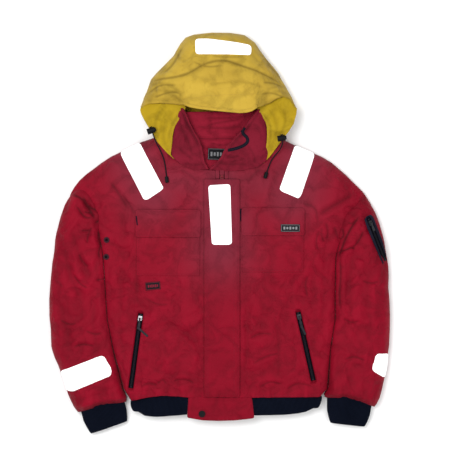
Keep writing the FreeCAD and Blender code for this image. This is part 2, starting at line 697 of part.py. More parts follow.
def main():
    os.makedirs("parts", exist_ok=True)
    make_body()
    make_eyelets()
    make_main_zip()
    make_hand_zips()
    make_pocket_bags()
    make_chest_pockets()
    make_labels()
    make_storm_flap()
    make_hem()
    make_sleeve("right", -1, SLEEVE_RIGHT, CUFF_RIGHT, PATCH_SLEEVE_RIGHT)
    make_sleeve("left", 1, SLEEVE_LEFT, CUFF_LEFT, PATCH_SLEEVE_LEFT)
    make_sleeve_pocket()
    make_collar()
    make_hood()
    make_shoulder_patches()
    guides = []
    for name, points in CORDS.items():
        make_cord(name, points)
        guides.append(make_cord_lock(name, points))
    save("cord_guides", *guides)


if __name__ == "__main__":
    main()
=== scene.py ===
import math

import bmesh
import bpy
import numpy as np
from mathutils import Matrix, Vector
from mathutils.bvhtree import BVHTree
from mathutils.geometry import delaunay_2d_cdt


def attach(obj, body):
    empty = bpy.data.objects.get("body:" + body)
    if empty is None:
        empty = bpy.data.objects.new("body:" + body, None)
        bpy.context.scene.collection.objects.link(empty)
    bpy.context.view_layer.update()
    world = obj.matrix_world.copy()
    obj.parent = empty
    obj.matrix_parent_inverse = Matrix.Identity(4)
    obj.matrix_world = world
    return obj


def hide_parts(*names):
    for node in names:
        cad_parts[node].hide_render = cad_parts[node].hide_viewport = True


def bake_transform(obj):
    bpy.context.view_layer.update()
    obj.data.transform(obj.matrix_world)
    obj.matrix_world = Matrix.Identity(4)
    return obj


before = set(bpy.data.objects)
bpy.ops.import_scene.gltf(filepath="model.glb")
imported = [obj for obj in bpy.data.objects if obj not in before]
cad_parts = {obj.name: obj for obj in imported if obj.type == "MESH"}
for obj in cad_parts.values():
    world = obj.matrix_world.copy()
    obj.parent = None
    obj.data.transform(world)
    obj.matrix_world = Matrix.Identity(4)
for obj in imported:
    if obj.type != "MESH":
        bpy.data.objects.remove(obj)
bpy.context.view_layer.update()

MM = 0.001
BODY = "jacket_body"
RIM = 14 * MM                 # side and shoulder seams run this far over the floor
FLOOR_GAP = 0.6 * MM          # underside of the cloth over the floor
CROWN = 52 * MM               # the front's surface on the centre line, as the hard parts lie on it
SLEEVE_TOP = 46 * MM          # upper side of a padded sleeve
CLOTH = 2.2 * MM              # thickness of padded cloth
GRID = 4.5 * MM               # mesh spacing of the large panels
ZIP_X = 6 * MM                # centre of the main zip
HEM_Y = -391 * MM
EDGE = 1e-6                   # nearer than this to a seam is on it
SEAM_ROWS = (1.2 * MM, 3.0 * MM)      # rows of mesh beside the seams of large panels
FINE_ROWS = (0.8 * MM, 1.8 * MM)      # and beside the edges of smaller ones
ARM_X = 0.33                  # the sleeves swing about points this far from the middle
VENTS = ((-272, -12.6), (-273, -53.4))                   # in mm
SNAP = (-42 * MM, -430 * MM)
SMALL_BADGE_BOX = (-180, -140, -134, -112)               # x0, x1, y0, y1 in mm
COLOUR_SPREAD = 0.3           # how gently a material's two tones run together
EYE = (0.0252, 0.0114, 3.05)  # the camera looks straight down
LENS = 97.8
AIR_LIGHT = 0.68
bpy.context.scene.view_settings.view_transform = "Standard"


def mm(*points):
    return [tuple(c * MM for c in p) for p in points]


def crown(x):
    return CROWN - x * x / 6.0


# ---- camera, light and floor -----------------------------------------------------------
def studio():
    camera = bpy.data.cameras.new("camera")
    camera.sensor_width = 36
    camera.lens = LENS
    eye = bpy.data.objects.new("camera", camera)
    eye.location = EYE
    bpy.context.scene.collection.objects.link(eye)
    bpy.context.scene.camera = eye
    for name, place, aim, size, power in (
        ("overhead", (-0.6, 0.35, 2.1), (0, 0.05, 0), 0.9, 27),
        ("fill", (0.9, -0.7, 1.9), (0, 0, 0), 1.6, 11),
    ):
        light = bpy.data.lights.new(name, "AREA")
        light.size = size
        light.energy = power
        lamp = bpy.data.objects.new(name, light)
        lamp.location = place
        lamp.rotation_euler = (Vector(aim) - Vector(place)).to_track_quat("-Z", "Y").to_euler()
        bpy.context.scene.collection.objects.link(lamp)
    world = bpy.data.worlds.new("studio")
    world.use_nodes = True
    world.node_tree.nodes["Background"].inputs["Color"].default_value = (1, 1, 1, 1)
    world.node_tree.nodes["Background"].inputs["Strength"].default_value = AIR_LIGHT
    bpy.context.scene.world = world


# ---- materials -------------------------------------------------------------------------
def add(tree, kind, **values):
    node = tree.nodes.new(kind)
    for key, value in values.items():
        if key in node.inputs:
            node.inputs[key].default_value = value
        else:
            setattr(node, key, value)
    return node


def base(name, roughness, specular, metallic=0.0):
    mat = bpy.data.materials.new(name)
    mat.use_nodes = True
    shader = mat.node_tree.nodes["Principled BSDF"]
    shader.inputs["Roughness"].default_value = roughness
    shader.inputs["Specular IOR Level"].default_value = specular
    shader.inputs["Metallic"].default_value = metallic
    return mat, mat.node_tree, shader


def coloured(tree, shader, low, high, scale):
    """Base colour that wanders between two tones."""
    where = add(tree, "ShaderNodeTexCoord")
    cloud = add(tree, "ShaderNodeTexNoise", Scale=scale, Detail=4.0, Roughness=0.6)
    ramp = add(tree, "ShaderNodeValToRGB")
    ramp.color_ramp.elements[0].position = 0.5 - COLOUR_SPREAD
    ramp.color_ramp.elements[0].color = (*low, 1)
    ramp.color_ramp.elements[1].position = 0.5 + COLOUR_SPREAD
    ramp.color_ramp.elements[1].color = (*high, 1)
    tree.links.new(where.outputs["Object"], cloud.inputs["Vector"])
    tree.links.new(cloud.outputs["Fac"], ramp.inputs["Fac"])
    tree.links.new(ramp.outputs["Color"], shader.inputs["Base Color"])
    return where, ramp.outputs["Color"]


CRUMPLE = {"Scale": 18.0, "Detail": 4.0, "Roughness": 0.6, "Offset": 1.0, "Gain": 1.4, "Distortion": 0.3}


def woven(name, low, high, pitch, roughness=0.62, sheen=0.06, tint=(1, 0.6, 0.6), relief=0.3, glare=None,
          specular=0.1, crinkle=0.0):
    """Cloth: threads both ways, fine crumples, wandering colour, painted shade and highlight from the mesh's
    tone, painted shade along the crumple lines and painted glare.
    """
    mat, tree, shader = base(name, roughness, specular)
    where, colour = coloured(tree, shader, low, high, 14.0)
    links = tree.links
    # painted glare: the colour is washed towards the glare tone where the painted glare attribute is high
    if glare:
        glare_node = add(tree, "ShaderNodeAttribute", attribute_name="painted_glare")
        wash = add(tree, "ShaderNodeMix", data_type="RGBA")
        wash.inputs["B"].default_value = (*glare, 1)
        links.new(glare_node.outputs["Fac"], wash.inputs["Factor"])
        links.new(colour, wash.inputs["A"])
        colour = wash.outputs["Result"]
    # painted shade and highlight: the tone attribute scales the colour from 0.32 in shade to 1.6 in light
    painted_tone = add(tree, "ShaderNodeAttribute", attribute_name="tone")
    shade = add(tree, "ShaderNodeMix", data_type="RGBA", blend_type="MULTIPLY")
    shade.inputs["Factor"].default_value = 1.0
    span = add(tree, "ShaderNodeMapRange")
    span.inputs["To Min"].default_value = 0.32
    span.inputs["To Max"].default_value = 1.6
    links.new(painted_tone.outputs["Fac"], span.inputs["Value"])
    links.new(colour, shade.inputs["A"])
    links.new(span.outputs["Result"], shade.inputs["B"])
    links.new(shade.outputs["Result"], shader.inputs["Base Color"])
    shader.inputs["Sheen Weight"].default_value = sheen
    shader.inputs["Sheen Roughness"].default_value = 0.4
    shader.inputs["Sheen Tint"].default_value = (*tint, 1)
    threads = []
    for axis in ("X", "Y"):
        wave = add(tree, "ShaderNodeTexWave", wave_type="BANDS", bands_direction=axis,
                   Scale=0.314 / pitch, Distortion=0.6, Detail=1.0)
        links.new(where.outputs["Object"], wave.inputs["Vector"])
        threads.append(wave)
    cross = add(tree, "ShaderNodeMath", operation="ADD")
    links.new(threads[0].outputs["Fac"], cross.inputs[0])
    links.new(threads[1].outputs["Fac"], cross.inputs[1])
    pucker = add(tree, "ShaderNodeTexNoise", Scale=260.0, Detail=5.0, Roughness=0.7)
    links.new(where.outputs["Object"], pucker.inputs["Vector"])
    height = add(tree, "ShaderNodeMath", operation="MULTIPLY_ADD")
    height.inputs[1].default_value = 2.5
    links.new(pucker.outputs["Fac"], height.inputs[0])
    links.new(cross.outputs["Value"], height.inputs[2])
    bump = add(tree, "ShaderNodeBump", Strength=relief, Distance=pitch * 0.35)
    links.new(height.outputs["Value"], bump.inputs["Height"])
    links.new(bump.outputs["Normal"], shader.inputs["Normal"])
    if crinkle:
        crumple = add(tree, "ShaderNodeTexNoise", noise_type="RIDGED_MULTIFRACTAL")
        for key, value in CRUMPLE.items():
            crumple.inputs[key].default_value = value
        links.new(where.outputs["Object"], crumple.inputs["Vector"])
        broad = add(tree, "ShaderNodeBump", Strength=crinkle, Distance=0.003)
        broad.invert = True
        links.new(crumple.outputs["Fac"], broad.inputs["Height"])
        links.new(broad.outputs["Normal"], bump.inputs["Normal"])
        # painted shade: the colour darkens along the crumple lines
        line = add(tree, "ShaderNodeMapRange")
        line.inputs["From Min"].default_value = 0.9
        line.inputs["From Max"].default_value = 1.9
        line.inputs["To Min"].default_value = 1.0
        line.inputs["To Max"].default_value = 1 - 0.34 * crinkle
        dim = add(tree, "ShaderNodeMath", operation="MULTIPLY")
        links.new(crumple.outputs["Fac"], line.inputs["Value"])
        links.new(line.outputs["Result"], dim.inputs[0])
        links.new(span.outputs["Result"], dim.inputs[1])
        links.new(dim.outputs["Value"], shade.inputs["B"])
    rough = add(tree, "ShaderNodeMapRange")
    rough.inputs["To Min"].default_value = roughness - 0.1
    rough.inputs["To Max"].default_value = roughness + 0.12
    links.new(pucker.outputs["Fac"], rough.inputs["Value"])
    links.new(rough.outputs["Result"], shader.inputs["Roughness"])
    return mat


def hard(name, low, high, roughness, metallic=0.0, scale=90.0, relief=0.15, specular=0.3):
    """Moulded plastic or metal with fine grain and rubbed patches."""
    mat, tree, shader = base(name, roughness, specular, metallic)
    where, _ = coloured(tree, shader, low, high, scale)
    grain = add(tree, "ShaderNodeTexNoise", Scale=1400.0, Detail=3.0)
    rub = add(tree, "ShaderNodeTexNoise", Scale=160.0, Detail=4.0)
    span = add(tree, "ShaderNodeMapRange")
    span.inputs["To Min"].default_value = max(roughness - 0.15, 0.1)
    span.inputs["To Max"].default_value = roughness + 0.2
    bump = add(tree, "ShaderNodeBump", Strength=relief, Distance=0.0002)
    for texture in (grain, rub):
        tree.links.new(where.outputs["Object"], texture.inputs["Vector"])
    tree.links.new(rub.outputs["Fac"], span.inputs["Value"])
    tree.links.new(span.outputs["Result"], shader.inputs["Roughness"])
    tree.links.new(grain.outputs["Fac"], bump.inputs["Height"])
    tree.links.new(bump.outputs["Normal"], shader.inputs["Normal"])
    return mat


def beaded(name):
    """Retroreflective tape: bright beads in a fine honeycomb, scuffed here and there, with a painted glow
    standing in for the light it sends back.
    """
    mat, tree, shader = base(name, 0.3, 0.6)
    where, _ = coloured(tree, shader, (0.86, 0.87, 0.88), (1, 1, 1), 30.0)
    cells = add(tree, "ShaderNodeTexVoronoi", feature="DISTANCE_TO_EDGE", Scale=420.0)
    bump = add(tree, "ShaderNodeBump", Strength=0.25, Distance=0.0003)
    tree.links.new(where.outputs["Object"], cells.inputs["Vector"])
    tree.links.new(cells.outputs["Distance"], bump.inputs["Height"])
    tree.links.new(bump.outputs["Normal"], shader.inputs["Normal"])
    # painted light: the tape glows as if lit straight on
    shader.inputs["Emission Color"].default_value = (1, 1, 1, 1)
    shader.inputs["Emission Strength"].default_value = 0.55
    shader.inputs["Coat Weight"].default_value = 0.3
    return mat


# glare is the colour of the painted glare that washes the red cloth near the reflective patches
RED = woven("red_nylon", (0.208, 0.0002, 0.0112), (0.276, 0.0008, 0.0154), 0.0011, glare=(0.2, 0.017, 0.034),
            crinkle=0.6)
RED_TRIM = woven("red_trim", (0.193, 0.0002, 0.0104), (0.254, 0.0009, 0.0144), 0.0011, roughness=0.66,
                 glare=(0.195, 0.017, 0.034), crinkle=0.5)
COLLAR_RED = woven("collar_fleece", (0.165, 0.006, 0.018), (0.215, 0.010, 0.026), 0.0014, roughness=0.8,
                   crinkle=0.7)
# painted light: a lighter copy of the collar fleece, for the inside of the back collar that lies in the
# visor's shade
COLLAR_BACK_LIT = woven("collar_back_fleece_lit", (0.25, 0.008, 0.025), (0.32, 0.012, 0.033), 0.0014, roughness=0.8,
                    crinkle=0.7)
LINING = woven("red_lining", (0.13, 0.004, 0.013), (0.18, 0.006, 0.018), 0.0009, roughness=0.5)
YELLOW = woven("yellow_nylon", (0.45, 0.285, 0.032), (0.57, 0.385, 0.047), 0.0011, tint=(1, 0.95, 0.7),
               crinkle=0.6)
YELLOW_LINING = woven("yellow_lining", (0.39, 0.25, 0.006), (0.48, 0.325, 0.013), 0.0012, tint=(1, 0.95, 0.6),
                      crinkle=0.55)
KNIT = woven("navy_knit", (0.002, 0.0034, 0.009), (0.0045, 0.0065, 0.0150), 0.0016, roughness=0.9, sheen=0.02,
             tint=(0.6, 0.7, 1), relief=0.6, specular=0.04)
TAPE = woven("zip_tape", (0.005, 0.004, 0.011), (0.009, 0.008, 0.018), 0.0007, roughness=0.8, sheen=0.03,
             tint=(0.7, 0.7, 1), specular=0.05)
NAVY = woven("navy_nylon", (0.005, 0.0045, 0.012), (0.010, 0.009, 0.022), 0.001, roughness=0.6, sheen=0.04,
             tint=(0.7, 0.7, 1), crinkle=0.5)
REFLECT = beaded("reflective_tape")
TEETH = hard("zip_teeth", (0.006, 0.005, 0.010), (0.014, 0.013, 0.02), 0.45, specular=0.18)
METAL = hard("zip_metal", (0.25, 0.25, 0.26), (0.45, 0.45, 0.46), 0.34, metallic=0.9)
DARK_METAL = hard("dark_metal", (0.02, 0.02, 0.025), (0.05, 0.05, 0.055), 0.4, metallic=0.7)
PAINTED = hard("painted_eyelet", (0.022, 0.004, 0.009), (0.042, 0.008, 0.015), 0.5, specular=0.08)
RED_PAINT = hard("red_paint", (0.15, 0.003, 0.012), (0.2, 0.007, 0.018), 0.5, specular=0.2)
PLASTIC = hard("black_plastic", (0.003, 0.003, 0.004), (0.007, 0.007, 0.008), 0.5, specular=0.1)
LABEL = woven("label_black", (0.006, 0.006, 0.008), (0.012, 0.012, 0.015), 0.0005, roughness=0.7, sheen=0.03,
              tint=(1, 1, 1))
LABEL_GREY = woven("label_grey", (0.16, 0.16, 0.17), (0.28, 0.28, 0.29), 0.0005, roughness=0.7, sheen=0.1,
                   tint=(1, 1, 1))
THREAD = woven("red_thread", (0.21, 0.006, 0.02), (0.28, 0.014, 0.036), 0.0004, roughness=0.6)
THREAD_YELLOW = woven("yellow_thread", (0.36, 0.22, 0.03), (0.5, 0.34, 0.07), 0.0004, roughness=0.6,
                      tint=(1, 0.95, 0.7))
THREAD_GREY = woven("grey_thread", (0.6, 0.6, 0.6), (0.8, 0.8, 0.8), 0.0004, roughness=0.6, tint=(1, 1, 1))
HOOK = woven("hook_tape", (0.05, 0.004, 0.01), (0.09, 0.007, 0.018), 0.0009, roughness=0.9, relief=0.9)
FLOOR = hard("floor", (0.965, 0.965, 0.965), (0.985, 0.985, 0.985), 0.7, scale=3.0, relief=0.02)


# ---- smooth noise and distances --------------------------------------------------------
def lattice(i, j, seed):
    h = (i * 374761393 + j * 668265263 + seed * 1442695041) & 0xFFFFFFFF
    h = ((h ^ (h >> 13)) * 1274126177) & 0xFFFFFFFF
    return ((h ^ (h >> 16)) & 0xFFFF) / 32767.5 - 1.0


def noise(x, y, seed):
    i, j = np.floor(x).astype(np.int64), np.floor(y).astype(np.int64)
    u, v = x - i, y - j
    u, v = u * u * u * (u * (u * 6 - 15) + 10), v * v * v * (v * (v * 6 - 15) + 10)
    low = lattice(i, j, seed) * (1 - u) + lattice(i + 1, j, seed) * u
    high = lattice(i, j + 1, seed) * (1 - u) + lattice(i + 1, j + 1, seed) * u
    return low * (1 - v) + high * v


def folds(p, heading, length, width, seed):
    """Soft folds that run along a heading in degrees, from -1 to 1; sizes in mm."""
    a = math.radians(heading)
    p = p / MM
    wander = 0.45 * noise(p[:, 0] / length + 7, p[:, 1] / length - 3, seed + 40)
    along = (p[:, 0] * math.cos(a) + p[:, 1] * math.sin(a)) / length
    across = (-p[:, 0] * math.sin(a) + p[:, 1] * math.cos(a)) / width + wander
    return 0.7 * noise(along, across, seed) + 0.3 * noise(along * 2.1, across * 2.1, seed + 9)


def distance(p, path):
    """Distance of each point to an open path, and how far along the path it lies, from 0 to 1."""
    path = np.asarray(path, float)[:, :2]
    best = np.full(len(p), 1e9)
    where = np.zeros(len(p))
    lengths = np.linalg.norm(path[1:] - path[:-1], axis=1)
    total, done = lengths.sum(), 0.0
    for a, b, length in zip(path[:-1], path[1:], lengths):
        if length < 1e-9:
            continue
        d = b - a
        t = (((p - a) @ d) / (length * length)).clip(0, 1)
        gap = np.linalg.norm(p - a - t[:, None] * d, axis=1)
        closer = gap < best
        best = np.where(closer, gap, best)
        where = np.where(closer, (done + t * length) / total, where)
        done += length
    return best, where


def dome(t):
    t = np.clip(t, 0, 1)
    return np.sqrt(1 - (1 - t) ** 2)


def ease(t):
    t = np.clip(t, 0, 1)
    return t * t * (3 - 2 * t)


def crease_rows(lines):
    """Paths on and beside each furrow, so that the mesh can follow it."""
    rows = []
    for _, width, points in lines:
        middle = smooth(mm(*points))
        rows += [middle, offset(middle, 0.95 * width * MM), offset(middle, -0.95 * width * MM)]
    return rows


def furrows(p, lines):
    """How deep in a furrow each point lies, from 0 to about 1."""
    shade = np.zeros(len(p))
    for depth, width, points in lines:
        d, t = distance(p, smooth(mm(*points)))
        fade = ease(np.minimum(t, 1 - t) * 5 + 0.15)
        strong = min(depth / 2.6, 1) * min((5 / width) ** 2.5, 1)
        shade = np.maximum(shade, fade * strong * np.exp(-(d / MM / width / 0.6) ** 2))
    return shade


def creased(p, lines):
    """Furrows, each (depth, width, points) in mm, deepest in the middle, with a soft lip beside."""
    z = np.zeros(len(p))
    for depth, width, points in lines:
        d, t = distance(p, smooth(mm(*points)))
        d = d / MM / width
        fade = ease(np.minimum(t, 1 - t) * 5 + 0.15)
        z += fade * depth * MM * (0.45 * np.exp(-((d - 2.3) / 1.2) ** 2) - np.exp(-d * d))
    return z


# ---- meshes ----------------------------------------------------------------------------
def resample(outline, spacing):
    """Evenly spaced points round a closed outline, with its corners kept."""
    points = []
    for (x0, y0), (x1, y1) in zip(outline, outline[1:] + outline[:1]):
        steps = max(1, round(math.hypot(x1 - x0, y1 - y0) / spacing))
        for k in range(steps):
            points.append((x0 + (x1 - x0) * k / steps, y0 + (y1 - y0) * k / steps))
    return points


def smooth(path):
    """Rounds the corners of an open path by cutting them."""
    for _ in range(2):
        cut = []
        for (x0, y0), (x1, y1) in zip(path, path[1:]):
            cut.append((0.75 * x0 + 0.25 * x1, 0.75 * y0 + 0.25 * y1))
            cut.append((0.25 * x0 + 0.75 * x1, 0.25 * y0 + 0.75 * y1))
        path = [path[0]] + cut + [path[-1]]
    return path


def rounded(outline, radius):
    """A closed outline with its corners rounded to a radius in metres."""
    points = []
    count = len(outline)
    for k in range(count):
        corner = np.array(outline[k])
        before, after = np.array(outline[k - 1]) - corner, np.array(outline[(k + 1) % count]) - corner
        reach = min(radius, 0.45 * np.linalg.norm(before), 0.45 * np.linalg.norm(after))
        a = corner + before / np.linalg.norm(before) * reach
        b = corner + after / np.linalg.norm(after) * reach
        for t in (0.0, 0.25, 0.5, 0.75, 1.0):
            points.append(tuple((1 - t) ** 2 * a + 2 * t * (1 - t) * corner + t * t * b))
    return points


def inside(p, outline):
    hit = np.zeros(len(p), bool)
    for (x0, y0), (x1, y1) in zip(outline, outline[1:] + outline[:1]):
        if y0 == y1:
            continue
        cross = (y0 > p[:, 1]) != (y1 > p[:, 1])
        hit ^= cross & (p[:, 0] < (x1 - x0) * (p[:, 1] - y0) / (y1 - y0) + x0)
    return hit


def offset(path, width):
    """The points of an open path moved to its left by width."""
    moved = []
    last = len(path) - 1
    for k, (x, y) in enumerate(path):
        (x0, y0), (x1, y1) = path[max(k - 1, 0)], path[min(k + 1, last)]
        length = math.hypot(x1 - x0, y1 - y0)
        moved.append((x - (y1 - y0) / length * width, y + (x1 - x0) / length * width))
    return moved


def resampled(path, count):
    """A number of evenly spaced points on an open path, both ends included."""
    points = np.array(path, float)
    lengths = np.concatenate([[0], np.cumsum(np.linalg.norm(points[1:] - points[:-1], axis=1))])
    stops = np.linspace(0, lengths[-1], count)
    return np.stack([np.interp(stops, lengths, points[:, c]) for c in range(points.shape[1])], 1)


def along(path, spacing):
    """Points on an open path, about a spacing apart."""
    points = np.array(path, float)
    total = np.cumsum(np.linalg.norm(points[1:] - points[:-1], axis=1))[-1]
    return resampled(path, max(2, round(total / spacing) + 1))


def triangulated(outline, spacing, lines=(), rings=()):
    """Points and triangles that fill an outline; lines and edge rings get rows of their own."""
    border = resample(outline, spacing)
    loop = np.array(border + border[:1])
    low, high = loop.min(0), loop.max(0)
    grid = []
    for k, y in enumerate(np.arange(low[1], high[1], spacing * 0.866)):
        x = np.arange(low[0] + spacing * 0.5 * (k % 2), high[0], spacing)
        grid.append(np.stack([x, np.full(len(x), y)], 1))
    grid = np.concatenate(grid)
    gap, _ = distance(grid, loop)
    grid = grid[inside(grid, border) & (gap > (max(rings) if rings else 0) + spacing * 0.55)]
    extra = [along(line, spacing * 0.6) for line in lines]
    for ring in rings:
        closed = border[-1:] + border + border[:1]
        for side in (ring, -ring):
            row = np.array(offset(closed, side)[1:-1])
            away, _ = distance(row, loop)
            extra.append(row[inside(row, border) & (away > ring * 0.7)])
    if lines:
        for row in extra[:len(lines)]:
            away, _ = distance(grid, row)
            grid = grid[away > spacing * 0.45]
    if extra:
        added = np.concatenate(extra)
        away, _ = distance(added, loop)
        grid = np.concatenate([grid, added[inside(added, border) & (away > 0.4 * MM)]])
    points = [Vector(p) for p in border] + [Vector(p) for p in grid]
    ring = [(k, (k + 1) % len(border)) for k in range(len(border))]
    verts, _, faces, _, _, _ = delaunay_2d_cdt(points, ring, [], 1, 1e-7)
    return np.array([v[:] for v in verts]), [list(f) for f in faces]


def solid(name, verts, faces, *materials, flat=False):
    mesh = bpy.data.meshes.new(name)
    mesh.from_pydata([tuple(v) for v in verts], [], faces)
    mesh.validate()
    mesh.polygons.foreach_set("use_smooth", [not flat] * len(mesh.polygons))
    for mat in materials:
        mesh.materials.append(mat)
    obj = bpy.data.objects.new(name, mesh)
    bpy.context.scene.collection.objects.link(obj)
    return obj


def facing(p, faces, sign):
    """Faces turned so that they look up, or down for sign -1."""
    turned = []
    for f in faces:
        a, b, c = p[f[0]], p[f[1]], p[f[2]]
        area = (b[0] - a[0]) * (c[1] - a[1]) - (b[1] - a[1]) * (c[0] - a[0])
        turned.append(f if area * sign > 0 else f[::-1])
    return turned


def weld(obj):
    mesh = bmesh.new()
    mesh.from_mesh(obj.data)
    bmesh.ops.remove_doubles(mesh, verts=mesh.verts, dist=0.03 * MM)
    mesh.to_mesh(obj.data)
    mesh.free()


PAINTED_GLARE = [                      # painted glare round the reflective patches, washing the red cloth paler: (strength, reach, path), in mm
    (1.0, 75, [(-214, 210), (-160, 98)]),
    (1.0, 80, [(205, 205), (172, 100)]),
    (1.0, 85, [(2, 130), (4, 30), (4, -30)]),
    (0.75, 60, [(-110, 130), (110, 130)]),
]


def co_of(obj):
    co = np.empty(len(obj.data.vertices) * 3)
    obj.data.vertices.foreach_get("co", co)
    return co.reshape(-1, 3)


def toned(obj, values):
    """Stores the painted shade and highlight at each point, from 0 to 1 with 0.5 as plain, and the painted
    glare.
    """
    layer = obj.data.attributes.new("tone", "FLOAT", "POINT")
    layer.data.foreach_set("value", np.clip(values, 0, 1).astype(np.float32))
    p = co_of(obj)[:, :2]
    # painted glare: how strongly the colour is washed paler near the reflective patches, stored per point
    glare_strength = np.zeros(len(p))
    for strength, reach, path in PAINTED_GLARE:
        gap, _ = distance(p, mm(*path))
        glare_strength = np.maximum(glare_strength, strength * np.exp(-(gap / (reach * MM)) ** 2))
    painted_glare = obj.data.attributes.new("painted_glare", "FLOAT", "POINT")
    painted_glare.data.foreach_set("value", glare_strength.astype(np.float32))


def plain(obj):
    """The same shading all over."""
    toned(obj, np.full(len(obj.data.vertices), 0.5))


def thicken(obj, thickness, lining=None):
    """Gives a sheet its thickness, with the lining's cloth on the inside."""
    if lining:
        obj.data.materials.append(lining)
    cloth = obj.modifiers.new("thickness", "SOLIDIFY")
    cloth.thickness = thickness
    cloth.offset = -1
    cloth.use_quality_normals = True
    if lining:
        cloth.material_offset = 1


def tree_of(*objects):
    """One search tree over the base meshes of several objects."""
    verts, faces = [], []
    for obj in objects:
        start = len(verts)
        verts.extend(v.co.copy() for v in obj.data.vertices)
        faces.extend([start + k for k in f.vertices] for f in obj.data.polygons)
    return BVHTree.FromPolygons(verts, faces)


def drop(tree, p, lift):
    """Points laid on the highest surface under each (x, y), raised along its normal."""
    placed = []
    for x, y in np.asarray(p)[:, :2]:
        hit, normal, _, _ = tree.ray_cast(Vector((x, y, 0.3)), Vector((0, 0, -1)))
        if hit is None:
            placed.append((x, y, 0.02))
        else:
            normal = normal if normal.z > 0 else -normal
            placed.append(tuple(hit + normal * lift))
    return np.array(placed)


def sheet_on(name, tree, outline, lift, thickness, material, spacing=3 * MM, body=BODY):
    """A piece of cloth laid over a surface, with its own thickness."""
    p, faces = triangulated(outline, spacing, rings=(0.5 * MM,))
    verts = drop(tree, p, lift)
    gap, _ = distance(p, outline + outline[:1])
    verts[:, 2] -= (lift + 0.3 * MM) * (1 - dome(gap / (1.2 * MM)))
    obj = solid(name, verts, facing(p, faces, 1), material)
    # painted highlight: the cloth is lighter along its edges
    toned(obj, 0.5 + 0.08 * (1 - ease(gap / (3 * MM))))
    thicken(obj, thickness)
    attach(obj, body)
    return obj


def joined(obj, body, slot, *nodes):
    """Rides a piece on its body and hides the CAD nodes that it stands for; slot is not used."""
    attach(obj, body)
    if nodes:
        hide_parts(*nodes)
    return obj


class Row:
    """Gathers many small parts, such as stitches or teeth, into one mesh."""

    def __init__(self):
        self.verts = []
        self.faces = []

    def add(self, verts, faces):
        start = len(self.verts)
        self.verts.extend(verts)
        self.faces.extend([start + k for k in f] for f in faces)

    def lozenge(self, centre, heading, up, length, width, height):
        """One stitch: a slim bead along heading."""
        side = heading.cross(up).normalized()
        low = up * height * 0.6
        ends = [centre - heading * length / 2 - low, centre + heading * length / 2 - low]
        middle = []
        for t in (-0.28, 0.28):
            spot = centre + heading * length * t
            middle += [spot + side * width / 2, spot + up * height, spot - side * width / 2,
                       spot - up * height]
        faces = [(0, 3, 2), (0, 4, 3), (0, 5, 4), (0, 2, 5), (1, 6, 7), (1, 7, 8), (1, 8, 9), (1, 9, 6)]
        faces += [(2, 3, 7, 6), (3, 4, 8, 7), (4, 5, 9, 8), (5, 2, 6, 9)]
        self.add([tuple(v) for v in ends + middle], faces)

    def box(self, place, size, bevel=0.22):
        """A block with chamfered top, at a placement matrix."""
        x, y, z = (c / 2 for c in size)
        i, j = x * (1 - bevel), y * (1 - bevel)
        levels = ((-z, x, y), (z * 0.5, x, y), (z, i, j))
        verts = []
        for h, a, b in levels:
            verts += [(-a, -b, h), (a, -b, h), (a, b, h), (-a, b, h)]
        faces = [(3, 2, 1, 0), (8, 9, 10, 11)]
        for k in (0, 4):
            for i0 in range(4):
                i1 = (i0 + 1) % 4
                faces.append((k + i0, k + i1, k + 4 + i1, k + 4 + i0))
        self.add([tuple(place @ Vector(v)) for v in verts], faces)

    def build(self, name, material, body, slot=None, *nodes):
        obj = solid(name, self.verts, self.faces, material)
        return joined(obj, body, slot, *nodes)


STITCH_PITCH, STITCH_WIDTH, STITCH_HEIGHT = 3.4 * MM, 0.75 * MM, 0.38 * MM


def stitch(row, tree, path, lift=0.15 * MM):
    """A row of stitches along a path of (x, y), lying on a surface."""
    spots = along(path, STITCH_PITCH)
    laid = drop(tree, spots, lift)
    for a, b in zip(laid, laid[1:]):
        a, b = Vector(a), Vector(b)
        if (b - a).length > STITCH_PITCH * 2.2:
            continue
        heading = (b - a).normalized()
        up = Vector((0, 0, 1)) - heading * heading.z
        row.lozenge((a + b) / 2, heading, up.normalized(), STITCH_PITCH * 0.72, STITCH_WIDTH, STITCH_HEIGHT)


# ---- body ------------------------------------------------------------------------------
SHOULDER_RIGHT = mm((-128, 236), (-152, 238), (-193, 224), (-242, 200), (-265, 189), (-287, 174.5),
                    (-306, 160), (-325, 146), (-341, 131), (-352, 117), (-360, 103.5), (-364, 94))
CREASE_RIGHT = mm((-364, 94), (-352, 97), (-330, 91), (-316, 66), (-303, 40), (-296, 24))
SIDE_RIGHT = mm((-296, 24), (-291, 4), (-288, -12), (-281, -53), (-276, -130), (-271, -205), (-257, -277),
                (-234, -373), (-216, -401))
SHOULDER_LEFT = mm((124, 236), (150, 233), (181, 218), (230, 197), (248.4, 189), (272.4, 174.6),
                   (289.2, 160), (306, 145.8), (320.4, 131), (334.8, 117), (349.2, 102.6), (358.8, 88),
                   (368, 73))
CREASE_LEFT = mm((368, 73), (352, 66), (334, 50), (313, 28), (300, 6), (291.6, -12.6))
SIDE_LEFT = mm((291.6, -12.6), (281, -53), (279, -130), (279, -205), (268, -277), (262, -373), (246, -391))
NECK_FRONT = mm((112, 232), (109, 178), (92, 165), (60, 157), (16.5, 154))
NECK_FRONT_RIGHT = mm((-4.5, 154), (-40, 156), (-75, 162), (-98, 173), (-112, 190), (-112, 232))
ZIP_RIGHT = ((-202.0, -279.6), -7.7, 182.0)
ZIP_LEFT = ((208.0, -268.8), 12.7, 170.0)


def zip_line(place, stretch=0.0, shift=0.0):
    """The line of a hand zip from its lower to its upper end, in metres."""
    (x, y), turn, length = place
    a = math.radians(90 + turn)
    half = length / 2 + stretch
    side = (math.sin(a) * shift, -math.cos(a) * shift)
    return mm((x - half * math.cos(a) + side[0], y - half * math.sin(a) + side[1]),
              (x + half * math.cos(a) + side[0], y + half * math.sin(a) + side[1]))


